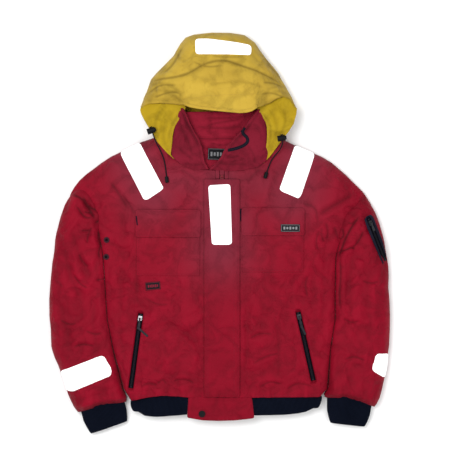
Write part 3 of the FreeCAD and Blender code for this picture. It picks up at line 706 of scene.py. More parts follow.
BODY_CREASES = [
    (2.4, 6, [(-262, 127), (-240, 96), (-220, 64)]),
    (1.2, 5, [(-232, 96), (-214, 70), (-204, 46)]),
    (2.0, 7, [(-196, 22), (-195, -40), (-200, -110), (-196, -160)]),
    (2.8, 7, [(238, 46), (268, 66), (300, 84), (324, 100)]),
    (1.4, 5, [(246, 18), (246, -4), (252, -18)]),
    (1.6, 5, [(256, 30), (262, 8), (258, -14)]),
    (1.5, 5, [(276, 20), (282, 2), (288, -12)]),
    (1.4, 5, [(200, 76), (232, 66), (236, 30)]),
    (1.2, 9, [(232, -60), (226, -140), (232, -210), (224, -290)]),
    (1.6, 3.5, [(240, 10), (232, -16), (238, -40)]),
    (1.4, 3.5, [(214, -96), (206, -120), (212, -150)]),
    (1.6, 3.5, [(-150, -360), (-136, -346), (-128, -360)]),
    (1.5, 3.5, [(-190, -366), (-170, -356), (-150, -362)]),
    (1.5, 3.5, [(-112, -352), (-84, -346), (-60, -356)]),
    (1.5, 3.5, [(96, -368), (120, -352), (150, -360)]),
    (1.4, 3.5, [(160, -372), (190, -356), (226, -366)]),
    (1.4, 4, [(72, -250), (96, -236), (128, -238)]),
    (1.4, 4, [(80, -310), (110, -292), (146, -284)]),
    (1.2, 4, [(-180, -150), (-150, -168), (-120, -166)]),
    (1.0, 8, [(255, -90), (250, -170), (244, -250)]),
    (1.3, 8, [(-240, -70), (-236, -150), (-242, -230), (-226, -320)]),
    (1.2, 7, [(-130, -212), (-88, -230), (-52, -262), (-44, -312)]),
    (1.2, 7, [(66, -200), (70, -260), (60, -330)]),
    (1.1, 6, [(130, -190), (144, -250), (140, -340)]),
    (1.3, 6, [(-60, 140), (-30, 128), (10, 134), (52, 128), (84, 140)]),
    (1.0, 5, [(-96, 158), (-64, 140), (-48, 122)]),
    (1.0, 5, [(100, 160), (74, 138), (66, 118)]),
]


def gathers(p, edge_y, seed, depth=2.2, fade=34):
    """Small upright puckers that die out above a ribbed band."""
    x, y = p[:, 0] / MM, (p[:, 1] - edge_y) / MM
    wobble = noise(x / 9.0, y / 60.0, seed) + 0.6 * noise(x / 4.6, y / 40.0, seed + 3)
    return wobble * depth * MM * np.exp(-(np.maximum(y, 0) / fade) ** 1.3)


# Boxes (x0, x1, y0, y1) under the pockets and the flap, where the cloth lies calmer.
QUIET = ((-205, -42, -100, 70), (50, 208, -92, 72), (-40, 52, -391, 140))


def depth_in_box(p, x0, x1, y0, y1):
    """How far inside a box in mm each point lies, in metres and negative outside."""
    return np.minimum.reduce([p[:, 0] - x0 * MM, x1 * MM - p[:, 0], p[:, 1] - y0 * MM, y1 * MM - p[:, 1]])


def side_rim(p):
    """Height at which the body and a sleeve meet along the side."""
    return RIM + 19 * MM * ease((p[:, 1] + 0.385) / 0.14)


def front_top(p):
    z = crown(p[:, 0]) - 1.6 * MM
    quiet = np.ones(len(p))
    for box in QUIET:
        quiet = np.minimum(quiet, 1 - 0.85 * ease((depth_in_box(p, *box) + 14 * MM) / (20 * MM)))
    z = z + 1.7 * MM * quiet * folds(p, 84, 130, 26, 3) + 0.7 * MM * quiet * folds(p, 70, 60, 12, 8)
    z = z + 0.8 * MM * quiet * folds(p, 20, 120, 34, 15) + creased(p, BODY_CREASES) * (0.35 + 0.65 * quiet)
    z = z + gathers(p, HEM_Y, 21)
    for place in (ZIP_RIGHT, ZIP_LEFT):
        d, _ = distance(p, zip_line(place, -1))
        d = d / MM
        lip = np.exp(-((d - 10.5) / 3.0) ** 2) * 1.4
        slot = np.where(d < 8.2, -7.4 * (1 - ease((d - 5.6) / 2.6)), 0)
        calm = np.exp(-(d / 22) ** 2)
        flat = crown(p[:, 0]) - 1.4 * MM
        z = z * (1 - calm) + flat * calm + (lip + slot) * MM
    channel = np.abs(p[:, 0] - ZIP_X) / MM
    z = z - 2.2 * MM * np.exp(-((channel - 10) / 4.0) ** 2) * (p[:, 1] < 0.16)
    for x, y in VENTS:
        d = np.hypot(p[:, 0] / MM - x, p[:, 1] / MM - y)
        ring = np.exp(-(d / 13) ** 4)
        z = z * (1 - ring) + (crown(p[:, 0]) - 0.4 * MM) * ring
        z = z - np.where(d < 4.6, 5 * MM, 0)
    drop_in = ease((p[:, 1] - 0.168) / 0.05) * (np.abs(p[:, 0]) < 0.125)
    z = z - 0.010 * drop_in
    for tuck in (CREASE_RIGHT, CREASE_LEFT):
        d, _ = distance(p, tuck)
        z = z - 4.5 * MM * np.exp(-(d / (7 * MM)) ** 2)
    return z


def make_torso():
    closed = [SHOULDER_RIGHT, SIDE_RIGHT, SHOULDER_LEFT, SIDE_LEFT]
    channel_right, channel_left = (-4.5 * MM, HEM_Y), (16.5 * MM, HEM_Y)
    right = [channel_right] + NECK_FRONT_RIGHT + SHOULDER_RIGHT + CREASE_RIGHT[1:] + SIDE_RIGHT[1:]
    right += mm((-178, -392), (-139, -387), (-100, -388.5), (-75, -391))
    left = SHOULDER_LEFT[::-1] + NECK_FRONT + [channel_left] + SIDE_LEFT[::-1] + CREASE_LEFT[::-1][1:-1]
    back = (SHOULDER_RIGHT + CREASE_RIGHT[1:] + SIDE_RIGHT[1:]
            + SIDE_LEFT[::-1] + CREASE_LEFT[::-1][1:] + SHOULDER_LEFT[::-1][1:])
    verts, faces, tones = [], [], []

    def rolled(p, top):
        side = np.minimum(distance(p, SIDE_RIGHT)[0], distance(p, SIDE_LEFT)[0])
        ridge = np.minimum(distance(p, SHOULDER_RIGHT)[0], distance(p, SHOULDER_LEFT)[0])
        flank, rim = dome(side / (13 * MM)), side_rim(p)
        z = np.minimum(rim + (top - rim) * flank, RIM + (top - RIM) * dome(ridge / (38 * MM)))
        return np.where(side < EDGE, np.where(ridge < EDGE, RIM, rim), z)

    for outline, zips in ((right, (ZIP_RIGHT,)), (left, (ZIP_LEFT,))):
        lines = [zip_line(place, 2, s) for place in zips for s in (-8.2, -5.4, 0, 5.4, 8.2)]
        p, tris = triangulated(outline, GRID, lines + crease_rows(BODY_CREASES), rings=SEAM_ROWS)
        top = front_top(p)
        z = rolled(p, top)
        start = len(verts)
        verts.extend(np.column_stack([p, z]))
        faces.extend([start + k for k in f] for f in facing(p, tris, 1))
        swell = np.clip((top - crown(p[:, 0]) + 1.6 * MM) / (3 * MM), -1, 1)
        # painted highlight on raised cloth and painted shade in the furrows
        tones.extend(0.5 + 0.12 * swell - 0.34 * furrows(p, BODY_CREASES))
    p, tris = triangulated(back, GRID * 1.6, rings=SEAM_ROWS)
    side = np.full(len(p), 1.0)
    for path in closed:
        side = np.minimum(side, distance(p, path)[0])
    flank = np.minimum(distance(p, SIDE_RIGHT)[0], distance(p, SIDE_LEFT)[0])
    rim = np.where(flank < EDGE, side_rim(p), RIM)
    ridge = np.minimum(distance(p, SHOULDER_RIGHT)[0], distance(p, SHOULDER_LEFT)[0])
    rim = np.where(ridge < EDGE, RIM, rim)
    low = FLOOR_GAP + CLOTH * 0.2 + (RIM - FLOOR_GAP - CLOTH * 0.2) * (1 - dome(side / (16 * MM)))
    low = low + (side_rim(p) - RIM) * np.exp(-(flank / (2.2 * MM)) ** 2)
    low = np.where(side < EDGE, rim, low + 0.8 * MM * (1 + folds(p, 80, 120, 30, 77))
                   * ease(side / (20 * MM)))
    start = len(verts)
    verts.extend(np.column_stack([p, low]))
    faces.extend([start + k for k in f] for f in facing(p, tris, -1))
    tones.extend(np.full(len(p), 0.5))
    obj = solid("torso_shell", verts, faces, RED)
    toned(obj, np.array(tones))
    weld(obj)
    return obj


# ---- sleeves ---------------------------------------------------------------------------
OUTER_RIGHT = mm((-352, 108), (-360.5, 98), (-368.5, 86), (-375.6, 73.8), (-381, 59.4), (-386, 45),
                 (-390, 30.6), (-393.5, 16.2), (-397.2, 1.8), (-399.6, -12.6), (-402, -41.4),
                 (-406.8, -70.2), (-409.5, -99), (-412, -127.8), (-414, -156.6), (-413.5, -199.8),
                 (-410.5, -228.6), (-409, -271.8), (-405, -286.2), (-400, -300.6), (-393, -315),
                 (-387.6, -329.4), (-381, -343.8), (-376, -358.2), (-372.5, -372.6), (-368.4, -387),
                 (-362, -401.4), (-354, -418), (-344, -431))
END_RIGHT = mm((-344, -431), (-310, -420), (-276, -409), (-226, -405))
INNER_RIGHT = mm((-226, -405), (-225, -392), (-234.3, -373), (-245.8, -325), (-257.3, -277),
                 (-264.5, -240), (-271.3, -205), (-276.3, -130), (-281.3, -53), (-288.3, -12), (-291.3, 4),
                 (-291, 26))
TUCK_RIGHT = mm((-291, 26), (-294, 46), (-306, 74), (-322, 101), (-352, 108))
OUTER_LEFT = mm((354, 92), (364, 78), (371.5, 66), (378, 54), (383, 42), (388, 28), (392, 14), (396, 0),
                (399.5, -14), (403, -35), (406.5, -56), (410, -77), (411, -99), (410, -128), (412.5, -157),
                (414, -195), (413.5, -229), (412, -268), (409.5, -286), (408, -300), (406, -320),
                (402, -340), (398.5, -358), (394, -378), (389, -396), (381, -412), (376, -418))
END_LEFT = mm((376, -418), (347, -405), (307, -393), (255, -394))
INNER_LEFT = mm((255, -394), (253.5, -386), (262.6, -371), (265.4, -325), (268.4, -277), (273.9, -240),
                (279.3, -205), (279.3, -130), (280.6, -75), (281.4, -53), (286.9, -30), (291.8, -10))
TUCK_LEFT = mm((291.8, -10), (291, 8), (305, 40), (328, 64), (354, 92))
UNDER_RIGHT = mm((-291, 26), (-274, 28), (-267, 46), (-274, 72), (-300, 100), (-326, 112), (-352, 108))
UNDER_LEFT = mm((291.8, -10), (276, -6), (267, 14), (276, 44), (300, 72), (328, 92), (354, 92))
SLEEVE_CREASES_RIGHT = [
    (3.4, 5, [(-358, 98), (-332, 88), (-314, 62), (-300, 36)]),
    (2.8, 4, [(-330, 94), (-316, 66), (-292, 58), (-262, 54)]),
    (3.0, 3.5, [(-300, 28), (-284, 38), (-262, 52)]),
    (2.6, 3.5, [(-292, 24), (-268, 36), (-244, 42)]),
    (2.4, 4, [(-288, 18), (-294, -4), (-286, -24), (-292, -44), (-287, -60)]),
    (2.0, 3, [(-333, 10), (-322, 9), (-311, 11)]),
    (1.8, 3, [(-298, -110), (-284, -107), (-264, -103)]),
    (2.0, 3.5, [(-344, 70), (-330, 48), (-318, 40), (-304, 42)]),
    (1.8, 3, [(-326, 56), (-312, 52), (-300, 46)]),
    (1.8, 4, [(-306, 20), (-316, 0), (-318, -22)]),
    (2.8, 9, [(-354, 14), (-344, -30), (-326, -76), (-306, -108)]),
    (2.4, 9, [(-372, -30), (-366, -80), (-346, -130), (-330, -160)]),
    (1.6, 4, [(-340, -44), (-328, -66), (-314, -78)]),
    (1.6, 4, [(-352, -96), (-336, -118), (-316, -128)]),
    (2.4, 10, [(-390, -110), (-384, -170), (-366, -230), (-362, -290)]),
    (1.8, 9, [(-300, -150), (-306, -200), (-296, -260), (-304, -310)]),
    (1.5, 4, [(-384, -204), (-362, -216), (-344, -212)]),
    (1.5, 4, [(-322, -230), (-300, -240), (-282, -236)]),
    (1.6, 4, [(-350, -270), (-328, -262), (-300, -268)]),
]
SLEEVE_CREASES_LEFT = [
    (2.8, 4.5, [(338, 46), (322, 26), (306, -2), (292, -40), (287, -58)]),
    (2.0, 3.5, [(296, 16), (300, -2), (292, -12)]),
    (2.6, 3.5, [(284, -44), (300, -38), (318, -30), (326, -36)]),
    (2.0, 4, [(290, -56), (292, -100), (288, -140), (291, -180)]),
    (1.8, 9, [(322, -50), (312, -110), (316, -170), (306, -230)]),
    (1.8, 10, [(360, -70), (354, -130), (362, -190), (352, -250)]),
    (1.6, 9, [(388, -110), (382, -170), (388, -230), (378, -290)]),
    (2.0, 3.5, [(346, 10), (334, -16), (318, -34)]),
    (1.6, 3.5, [(330, 34), (318, 26), (308, 30)]),
    (1.5, 4, [(296, -200), (318, -212), (336, -206)]),
    (1.4, 4, [(344, -110), (362, -118), (384, -112)]),
    (1.5, 4, [(300, -300), (322, -292), (350, -302)]),
]


SLEEVE_POCKET_LINE = mm((355, 50), (368, 16), (390, -30), (404, -70))


def make_sleeve(name, outer, end, inner, tuck, under, creases, seed):
    """A padded tube lying flat. Past tuck it runs on under the body, so that it can swing out."""
    outline = outer + end[1:] + inner[1:] + under[1:-1]
    seen = outer + end[1:] + inner[1:] + tuck[1:-1]
    p, tris = triangulated(outline, GRID, crease_rows(creases), rings=SEAM_ROWS)
    away_outer, _ = distance(p, outer)
    away_inner, _ = distance(p, inner)
    away_end, _ = distance(p, end)
    away_tuck, _ = distance(p, tuck)
    beyond = ~inside(p, seen) & (np.minimum.reduce([away_outer, away_inner, away_end]) > MM)
    hidden = np.where(beyond, away_tuck, 0)
    away_tuck = np.where(beyond, 0, away_tuck)
    full = dome(away_outer / (42 * MM))
    top = SLEEVE_TOP + 3.0 * MM * folds(p, 82, 150, 30, seed) + 1.4 * MM * folds(p, 60, 60, 15, seed + 4)
    top = top + creased(p, creases) + 0.8 * MM * folds(p, 5, 60, 24, seed + 6)
    x, y = p[:, 0] / MM, p[:, 1] / MM
    pucker = noise(x / 8.5, y / 50, seed + 30) + 0.5 * noise(x / 4.5, y / 34, seed + 31)
    top = top + pucker * 2.6 * MM * np.exp(-(away_end / (26 * MM)) ** 1.3)
    top = top + 2.4 * MM * np.exp(-((away_end - 13 * MM) / (9 * MM)) ** 2)
    top = top - 14 * MM * np.exp(-(away_end / (7 * MM)) ** 1.4)
    top = top - 7.5 * MM * (1 - ease(away_tuck / (20 * MM)))
    if outer is OUTER_LEFT:
        pad, _ = distance(p, SLEEVE_POCKET_LINE)
        top = top - 3 * MM * np.exp(-(pad / (16 * MM)) ** 2)
    rim = side_rim(p)
    z = np.minimum(RIM + (top - RIM) * full, rim + (top - rim) * dome(away_inner / (17 * MM)))
    edge = np.minimum(away_outer, away_inner)
    rim = np.where(away_outer < EDGE, RIM, rim)
    z = np.where(edge < EDGE, rim, z) - np.minimum(hidden, 11 * MM)
    low = FLOOR_GAP + (RIM - FLOOR_GAP) * (1 - dome(edge / (18 * MM)))
    low = low + (side_rim(p) - RIM) * np.exp(-(away_inner / (2.2 * MM)) ** 2)
    inward = ease(edge / (12 * MM))
    low = np.where(edge < EDGE, rim, low + 6 * MM * np.exp(-(away_end / (9 * MM)) ** 1.4) * inward)
    low = np.where(edge < EDGE, rim, low + 4.5 * MM * (1 - ease(away_tuck / (20 * MM))) * inward)
    count = len(p)
    verts = np.concatenate([np.column_stack([p, z]), np.column_stack([p, np.minimum(low, z)])])
    faces = facing(p, tris, 1) + [[k + count for k in f] for f in facing(p, tris, -1)]
    obj = solid(name, verts, faces, RED)
    # painted highlight on raised cloth and painted shade in the furrows
    tone = 0.5 + 0.14 * np.clip((top - SLEEVE_TOP) / (5 * MM), -1, 1) - 0.42 * furrows(p, creases)
    tone = np.concatenate([tone, np.full(count, 0.5)])
    toned(obj, tone)
    weld(obj)
    return obj


# ---- ribbed bands ----------------------------------------------------------------------
def ribbed(name, first, last, rows, pitch, body, bulge, depth, fold):
    """Knit band between two edge paths of (x, y, z), its ribs standing along the band's depth."""
    length = sum(math.dist(a, b) for a, b in zip(first, first[1:]))
    count = round(length / pitch) * 6
    a, b = (resampled(path, count) for path in (first, last))
    tangent = np.roll(a, -1, 0) - np.roll(a, 1, 0)
    tangent[0], tangent[-1] = a[1] - a[0], a[-1] - a[-2]
    out = np.stack([tangent[:, 2], np.zeros(len(a)), -tangent[:, 0]], 1)
    out /= np.linalg.norm(out, axis=1)[:, None]
    phase = np.arange(len(a)) / 6 * 2 * math.pi
    verts, tones = [], []
    for k in range(rows + 1):
        t = k / rows
        middle = a * (1 - t) + b * t
        swell = bulge * math.sin(math.pi * t) ** 0.7 - fold * (t ** 4)
        wave = 1.2 * MM * noise(a[:, 0] / (24 * MM), np.full(len(a), t * 1.6 + 3), 5)
        rib = np.cos(phase)
        row = middle + out * (swell + depth * rib + wave * math.sin(math.pi * t))[:, None]
        row[:, 2] = np.maximum(row[:, 2], FLOOR_GAP)
        verts.append(row)
        # painted highlight on the rib crests and painted shade in the rib valleys
        tones.append(0.45 + 0.4 * rib)
    n = len(a)
    faces = []
    for k in range(rows):
        for i in range(n - 1):
            faces.append((k * n + i, k * n + i + 1, (k + 1) * n + i + 1, (k + 1) * n + i))
    obj = solid(name, np.concatenate(verts), faces, KNIT)
    toned(obj, np.concatenate(tones))
    thicken(obj, 2.4 * MM)
    joined(obj, body, "navy_rib")
    return obj


ARC_STEPS = 14


def arc(x0, y, low, high, out):
    """A path that turns from a sheet at height high round a side edge to one at height low."""
    points = []
    for k in range(ARC_STEPS + 1):
        a = math.pi * (0.5 - k / ARC_STEPS)
        points.append((x0 + out * math.cos(a), y, (low + high) / 2 + (high - low) / 2 * math.sin(a)))
    return points


def make_hem():
    def loop(right, left, top, low):
        half = 15

        def across(stops, steps):
            (x0, _), (x1, _) = stops[0], stops[-1]
            sign = 1 if x1 > x0 else -1
            xs, ys = [sign * x for x, _ in stops], [y for _, y in stops]
            spread = np.linspace(x0, x1, steps + 1)
            return [(x, float(np.interp(sign * x, xs, ys)), k / steps) for k, x in enumerate(spread)]

        path = [(x, y, crown(x * MM) / MM - top - 1.5 * t ** 3) for x, y, t in across(right, 8)]
        x, y, high = path[-1]
        path += arc(x, y, low, high, -half)[1:]
        x_left, y_left = left[-1]
        below = np.linspace(x + 20, x_left - 20, 12)
        path += [(x0, y + (y_left - y) * k / 11, low) for k, x0 in enumerate(below)]
        front = [(x, y, crown(x * MM) / MM - top - 1.5 * t ** 3) for x, y, t in across(left, 8)]
        path += arc(x_left, y_left, low, front[-1][2], half)[::-1]
        path += front[-2::-1]
        return mm(*path)

    first = loop([(-75, -389), (-139, -384), (-178, -390), (-199, -399)],
                 [(78, -388), (181, -385), (232, -390)], 7.5, 3.2)
    last = loop([(-79, -433), (-150, -439), (-180, -437), (-196, -427)],
                [(85, -435), (160, -434), (205, -429), (226, -419)], 6, 3.2)
    band = ribbed("hem_rib_band", first, last, 16, 3.0 * MM, BODY, bulge=3.2 * MM, depth=0.5 * MM,
                  fold=2.4 * MM)
    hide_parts("hem_ribs")


def cuff_loop(x, y, half, height, turn):
    points = []
    count = 72
    a = math.radians(turn)
    for k in range(count + 1):
        t = math.pi - 2 * math.pi * k / count
        c, s = math.cos(t), math.sin(t)
        u = half * math.copysign(abs(c) ** 0.75, c)
        w = height / 2 + 0.8 + (height / 2 - 1.5) * math.copysign(abs(s) ** 0.85, s)
        points.append((x + u * math.cos(a), y + u * math.sin(a), w))
    return mm(*points)


def make_cuff(name, stations, body):
    first, last = cuff_loop(*stations[0]), cuff_loop(*stations[-1])
    middle = [cuff_loop(*s) for s in stations[1:-1]]
    count = round(sum(math.dist(a, b) for a, b in zip(first, first[1:])) / (2.9 * MM)) * 6
    paths = [resampled(p, count + 1)[:-1] for p in [first] + middle + [last]]
    rows = 18
    verts, tones = [], []
    phase = np.arange(count) / 6 * 2 * math.pi
    centres = [p.mean(0) for p in paths]
    for k in range(rows + 1):
        t = k / rows * (len(paths) - 1)
        i = min(int(t), len(paths) - 2)
        ring = paths[i] * (1 - t + i) + paths[i + 1] * (t - i)
        centre = centres[i] * (1 - t + i) + centres[i + 1] * (t - i)
        out = ring - centre
        out[:, 0] *= 0.5
        out[:, 1] = 0
        out /= np.linalg.norm(out, axis=1)[:, None]
        fullness = math.sin(math.pi * k / rows) ** 0.6 * 1.6 * MM - (k / rows) ** 5 * 2.2 * MM
        phase_y = k / rows * 1.5 + (9 if "left" in name else 4)
        wave = 1.3 * MM * noise(ring[:, 0] / (17 * MM), np.full(count, phase_y), 6)
        rib = np.cos(phase)
        ring = ring + out * (fullness + 0.5 * MM * rib + wave * math.sin(math.pi * k / rows))[:, None]
        ring[:, 2] = np.maximum(ring[:, 2], FLOOR_GAP)
        verts.append(ring)
        # painted highlight on the rib crests and painted shade in the rib valleys
        tones.append(0.45 + 0.4 * rib)
    faces = []
    for k in range(rows):
        for i in range(count):
            j = (i + 1) % count
            faces.append((k * count + i, (k + 1) * count + i, (k + 1) * count + j, k * count + j))
    obj = solid("knit_" + name, np.concatenate(verts), faces, KNIT)
    toned(obj, np.concatenate(tones))
    thicken(obj, 2.6 * MM)
    joined(obj, body, "navy_rib", name)


CUFF_RIGHT = [(-287, -404, 53, 34, 9), (-278, -440, 52, 32, 14), (-269, -468, 48, 25, 18)]
CUFF_LEFT = [(316, -393, 55, 34, -7), (313, -430, 50, 32, -6), (311, -461, 43.5, 26, -6)]


def make_tab():
    """Plain tab of the hem in shell cloth, with its bound edge and the snap on it."""
    outline = rounded(mm((-75, -389), (78, -389), (84, -441), (40, -446), (0, -447.5), (-40, -446),
                         (-78, -440)), 5 * MM)
    p, tris = triangulated(outline, 3 * MM, rings=(0.8 * MM,))
    gap, _ = distance(p, outline + outline[:1])
    z = crown(p[:, 0]) - 2.6 * MM + 0.9 * MM * folds(p, 86, 40, 17, 31) + creased(p, [
        (0.9, 3, [(-70, -396), (0, -398), (74, -396)]), (0.8, 3, [(-72, -434), (0, -440), (78, -434)])])
    z = z - 2.2 * MM * (1 - dome(gap / (2.5 * MM)))
    snap = np.exp(-(np.hypot(p[:, 0] - SNAP[0], p[:, 1] - SNAP[1]) / 0.012) ** 2)
    z = z * (1 - snap) + (crown(p[:, 0]) - 1.1 * MM) * snap
    obj = solid("hem_front_tab", np.column_stack([p, z]), facing(p, tris, 1), RED_TRIM)
    # painted highlight: the tab is lighter along its edges
    toned(obj, 0.5 + 0.06 * (1 - ease(gap / (3 * MM))))
    thicken(obj, 3.4 * MM, RED_TRIM)
    joined(obj, BODY, "red_shell", "hem_tab")
    return obj


# ---- zips ------------------------------------------------------------------------------
TAPE_DEPTH = -5.9             # the zip's tape under the front's surface


def zip_rows(place, length, half, cloth, teeth):
    """Tape and coil teeth of a closed zip along local Y of a placement, in mm."""
    steps = round(length / 3)
    for side in (-1, 1):
        verts = []
        for k in range(steps + 1):
            y = -length / 2 + length * k / steps
            ripple = 0.12 * math.sin(y * 0.9 + side)
            for x, z in ((0.2, 0.5), (1.5, 0.75), (half * 0.6, 0.62 + ripple), (half, 0.35 + ripple),
                         (half, -0.2), (0.2, -0.2)):
                verts.append(tuple(place @ (Vector((side * x, y, TAPE_DEPTH + z)) * MM)))
        faces = []
        for k in range(steps):
            for i in range(6):
                j = (i + 1) % 6
                quad = (k * 6 + i, k * 6 + j, k * 6 + 6 + j, k * 6 + 6 + i)
                faces.append(quad if side < 0 else quad[::-1])
        cloth.add(verts, faces)
    count = round((length - 8) / 1.5)
    for k in range(count):
        side = -1 if k % 2 else 1
        y = -length / 2 + 4 + 1.5 * k
        spot = Matrix.Translation(Vector((side * 1.15, y, TAPE_DEPTH + 1.45)) * MM)
        teeth.box(place @ spot, (3.3 * MM, 1.15 * MM, 1.4 * MM), 0.35)
    for y in (-length / 2 + 2.5, length / 2 - 2.5):
        spot = Matrix.Translation(Vector((0, y, TAPE_DEPTH + 1.4)) * MM)
        teeth.box(place @ spot, (5.2 * MM, 2.4 * MM, 1.7 * MM), 0.3)


def front_place(x, y, turn=0.0, lift=0.0):
    """Placement on the front's surface, from millimetres; local Z is the surface's normal."""
    lean = Matrix.Rotation(math.asin(x / 3000), 4, "Y")
    at = Matrix.Translation(Vector((x * MM, y * MM, crown(x * MM) + lift * MM)))
    return at @ lean @ Matrix.Rotation(math.radians(turn), 4, "Z")


def make_zips():
    cloth, teeth = Row(), Row()
    for (x, y), turn, length in (ZIP_RIGHT, ZIP_LEFT):
        zip_rows(front_place(x, y, turn), length - 1, 6.0, cloth, teeth)
    cloth.build("hand_zip_tapes", TAPE, BODY, "zip_tape", "hand_pocket_zips", "hand_pocket_bags")
    teeth.build("hand_zip_teeth", TEETH, BODY, "zip_tape")
    cloth, teeth = Row(), Row()
    zip_rows(front_place(6, -118.2), 542, 10.8, cloth, teeth)
    cloth.build("main_zip_tapes", TAPE, BODY, "zip_tape", "main_zip_left", "main_zip_right")
    teeth.build("main_zip_teeth", TEETH, BODY, "zip_tape")


# ---- front details ---------------------------------------------------------------------
def leaf(name, outline, top, thickness, material, body, slot, spacing=3.4 * MM, roll=2.0, back=None,
         sink=0.55):
    """Flat sewn leaf with rolled edges; top gives the height of its upper face."""
    p, faces = triangulated(outline, spacing, rings=(0.7 * MM, 1.6 * MM))
    gap, _ = distance(p, outline + outline[:1])
    z = top(p) - thickness * sink * (1 - dome(gap / (roll * MM)))
    obj = solid(name, np.column_stack([p, z]), facing(p, faces, 1), material)
    # painted highlight along the rolled edges and painted shade in a line about 5 mm inside them, by the
    # stitch dents
    toned(obj, 0.5 + 0.05 * (1 - ease(gap / (2.5 * MM))) - 0.05 * np.exp(-((gap / MM - 5) / 1.6) ** 2))
    thicken(obj, thickness, back or material)
    return joined(obj, body, slot)


def seam_dent(p, lines):
    """Shallow dents that stitched lines pull into padded cloth."""
    z = np.zeros(len(p))
    for line in lines:
        d, _ = distance(p, mm(*line))
        z = np.minimum(z, -0.5 * MM * np.exp(-(d / (1.6 * MM)) ** 2))
    return z


FLAP_SEAMS = [[(-32.5, -388), (-32.5, 129)], [(-27.5, -388), (-27.5, 129)], [(35, -388), (35, 129)],
              [(44.5, -388), (44.5, 129)], [(-34, 126), (46, 126)]]
POCKETS = {"right": (-200, -47, -99, 61), "left": (54, 203, -90, 64)}
FLAPS = {"right": (-202, -45, 60), "left": (52.5, 205, 64)}


def box_outline(x0, x1, y0, y1, radius):
    return rounded(mm((x0, y0), (x1, y0), (x1, y1), (x0, y1)), radius * MM)


def make_front_details(stitches):
    def flap_top(p):
        wrinkle = 0.7 * folds(p, 3, 70, 26, 55) * ease((-0.04 - p[:, 1]) / 0.08)
        wrinkle = wrinkle + 0.35 * folds(p, 86, 90, 16, 56)
        low = gathers(p, HEM_Y, 44, 1.4, 24)
        lines = [(0.9, 5, [(-30, -198), (0, -206), (30, -200)]),
                 (0.8, 5, [(-20, -246), (14, -240), (44, -250)]),
                 (0.8, 6, [(-34, -290), (-6, -282), (26, -292)])]
        flat = crown(p[:, 0]) + 5.4 * MM + (wrinkle * MM + low + creased(p, lines)) * (p[:, 1] < -0.03)
        return flat + seam_dent(p, FLAP_SEAMS)

    flap = leaf("storm_flap_leaf", box_outline(-37, 49, -389.5, 133.5, 4), flap_top, 3.0 * MM, RED_TRIM,
                "storm_flap", "red_shell", roll=6, back=LINING, sink=1.0)
    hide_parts("storm_flap")
    tree = tree_of(flap)
    for line in FLAP_SEAMS:
        stitch(stitches["storm_flap"], tree, mm(*line))
    for name, node, depth, body in (("flap_hook_strip", "flap_hook_tape", 1.35, "storm_flap"),
                                       ("flap_loop_strip", "flap_loop_tape", 0.5, BODY)):
        def strip_top(p, depth=depth):
            return crown(p[:, 0]) + depth * MM + 0.12 * MM * noise(p[:, 0] / MM, p[:, 1] / MM, 5)
        strip = leaf(name, box_outline(-34, -14, -330, 110, 2), strip_top, 0.4 * MM, HOOK, body,
                     "fastening_tape", spacing=4 * MM)
        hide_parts(node)
    outline = rounded(mm((-27, 118.5), (26, 121.5), (30, -20), (24, -24), (-14, -24), (-18.5, -20)), 8 * MM)
    patch = sheet_on("reflective_front_patch", tree, outline, 1.0 * MM, 0.9 * MM, REFLECT, body="storm_flap")
    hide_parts("reflective_placket")
    stitch(stitches["patch_front"], tree_of(patch), inset(outline, 2.4))

    def wrap_top(p):
        return crown(p[:, 0]) + 0.6 * MM + 1.3 * MM * dome((0.006 - np.abs(p[:, 0] - ZIP_X)) / 0.004)

    leaf("zip_pull_cover", box_outline(0.5, 11.5, 143.5, 155.5, 3), wrap_top, 1.0 * MM, RED_TRIM,
         "main_zip_pull", "red_shell", spacing=2 * MM, roll=2, sink=1.0)

    def guard_top(p):
        return crown(p[:, 0]) + 0.4 * MM + 0.5 * MM * folds(p, 80, 20, 7, 12)

    for name, x0, x1 in (("zip_guard_right", -9, 0.2), ("zip_guard_left", 11.8, 21)):
        leaf(name, box_outline(x0, x1, 133.9, 157, 2), guard_top, 1.4 * MM, RED, BODY, "red_shell",
             spacing=2.4 * MM, sink=1.0)

    for side, (x0, x1, y0, y1) in POCKETS.items():
        seed = 61 if side == "right" else 71
        lines = [[(x0 + 4, y0 + 4), (x1 - 4, y0 + 4)], [(x0 + 4, y1), (x0 + 4, y0 + 4)],
                 [(x1 - 4, y0 + 4), (x1 - 4, y1)]]

        def pocket_top(p, seed=seed, lines=lines):
            soft = 0.7 * folds(p, 60, 90, 30, seed) + 0.4 * folds(p, 88, 60, 12, seed + 3)
            return crown(p[:, 0]) + 0.3 * MM + soft * MM + seam_dent(p, lines)

        pocket = leaf("chest_pocket_" + side, box_outline(x0, x1, y0, y1, 4), pocket_top, 1.7 * MM, RED, BODY,
                      "red_shell", roll=4, sink=0.9)
        tree = tree_of(pocket)
        for line in lines:
            stitch(stitches[BODY], tree, mm(*line))
        if side == "right":
            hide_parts("chest_pockets")
        fx0, fx1, top = FLAPS[side]
        edges = [[(fx0 + 3.5, top - 2), (fx0 + 3.5, top - 62)],
                 [(fx0 + 3.5, top - 62), (fx1 - 3.5, top - 62)],
                 [(fx1 - 3.5, top - 62), (fx1 - 3.5, top - 2)], [(fx0 + 2, top - 4), (fx1 - 2, top - 4)]]

        def lid_top(p, seed=seed, edges=edges):
            soft = 0.5 * folds(p, 10, 80, 26, seed + 20)
            return crown(p[:, 0]) + 3.5 * MM + soft * MM + seam_dent(p, edges)

        lid = leaf("chest_flap_" + side, box_outline(fx0, fx1, top - 66, top, 7), lid_top, 1.8 * MM, RED,
                   "pocket_flap_" + side, "red_shell", roll=4, sink=0.6)
        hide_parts("pocket_flap_" + side)
        tree = tree_of(lid)
        for line in edges:
            stitch(stitches["pocket_flap_" + side], tree, mm(*line))
        if side == "left":
            badge("chest_badge", front_place(170, 16, 0, 3.8), 46, 18, "pocket_flap_left", "chest_label", 5)


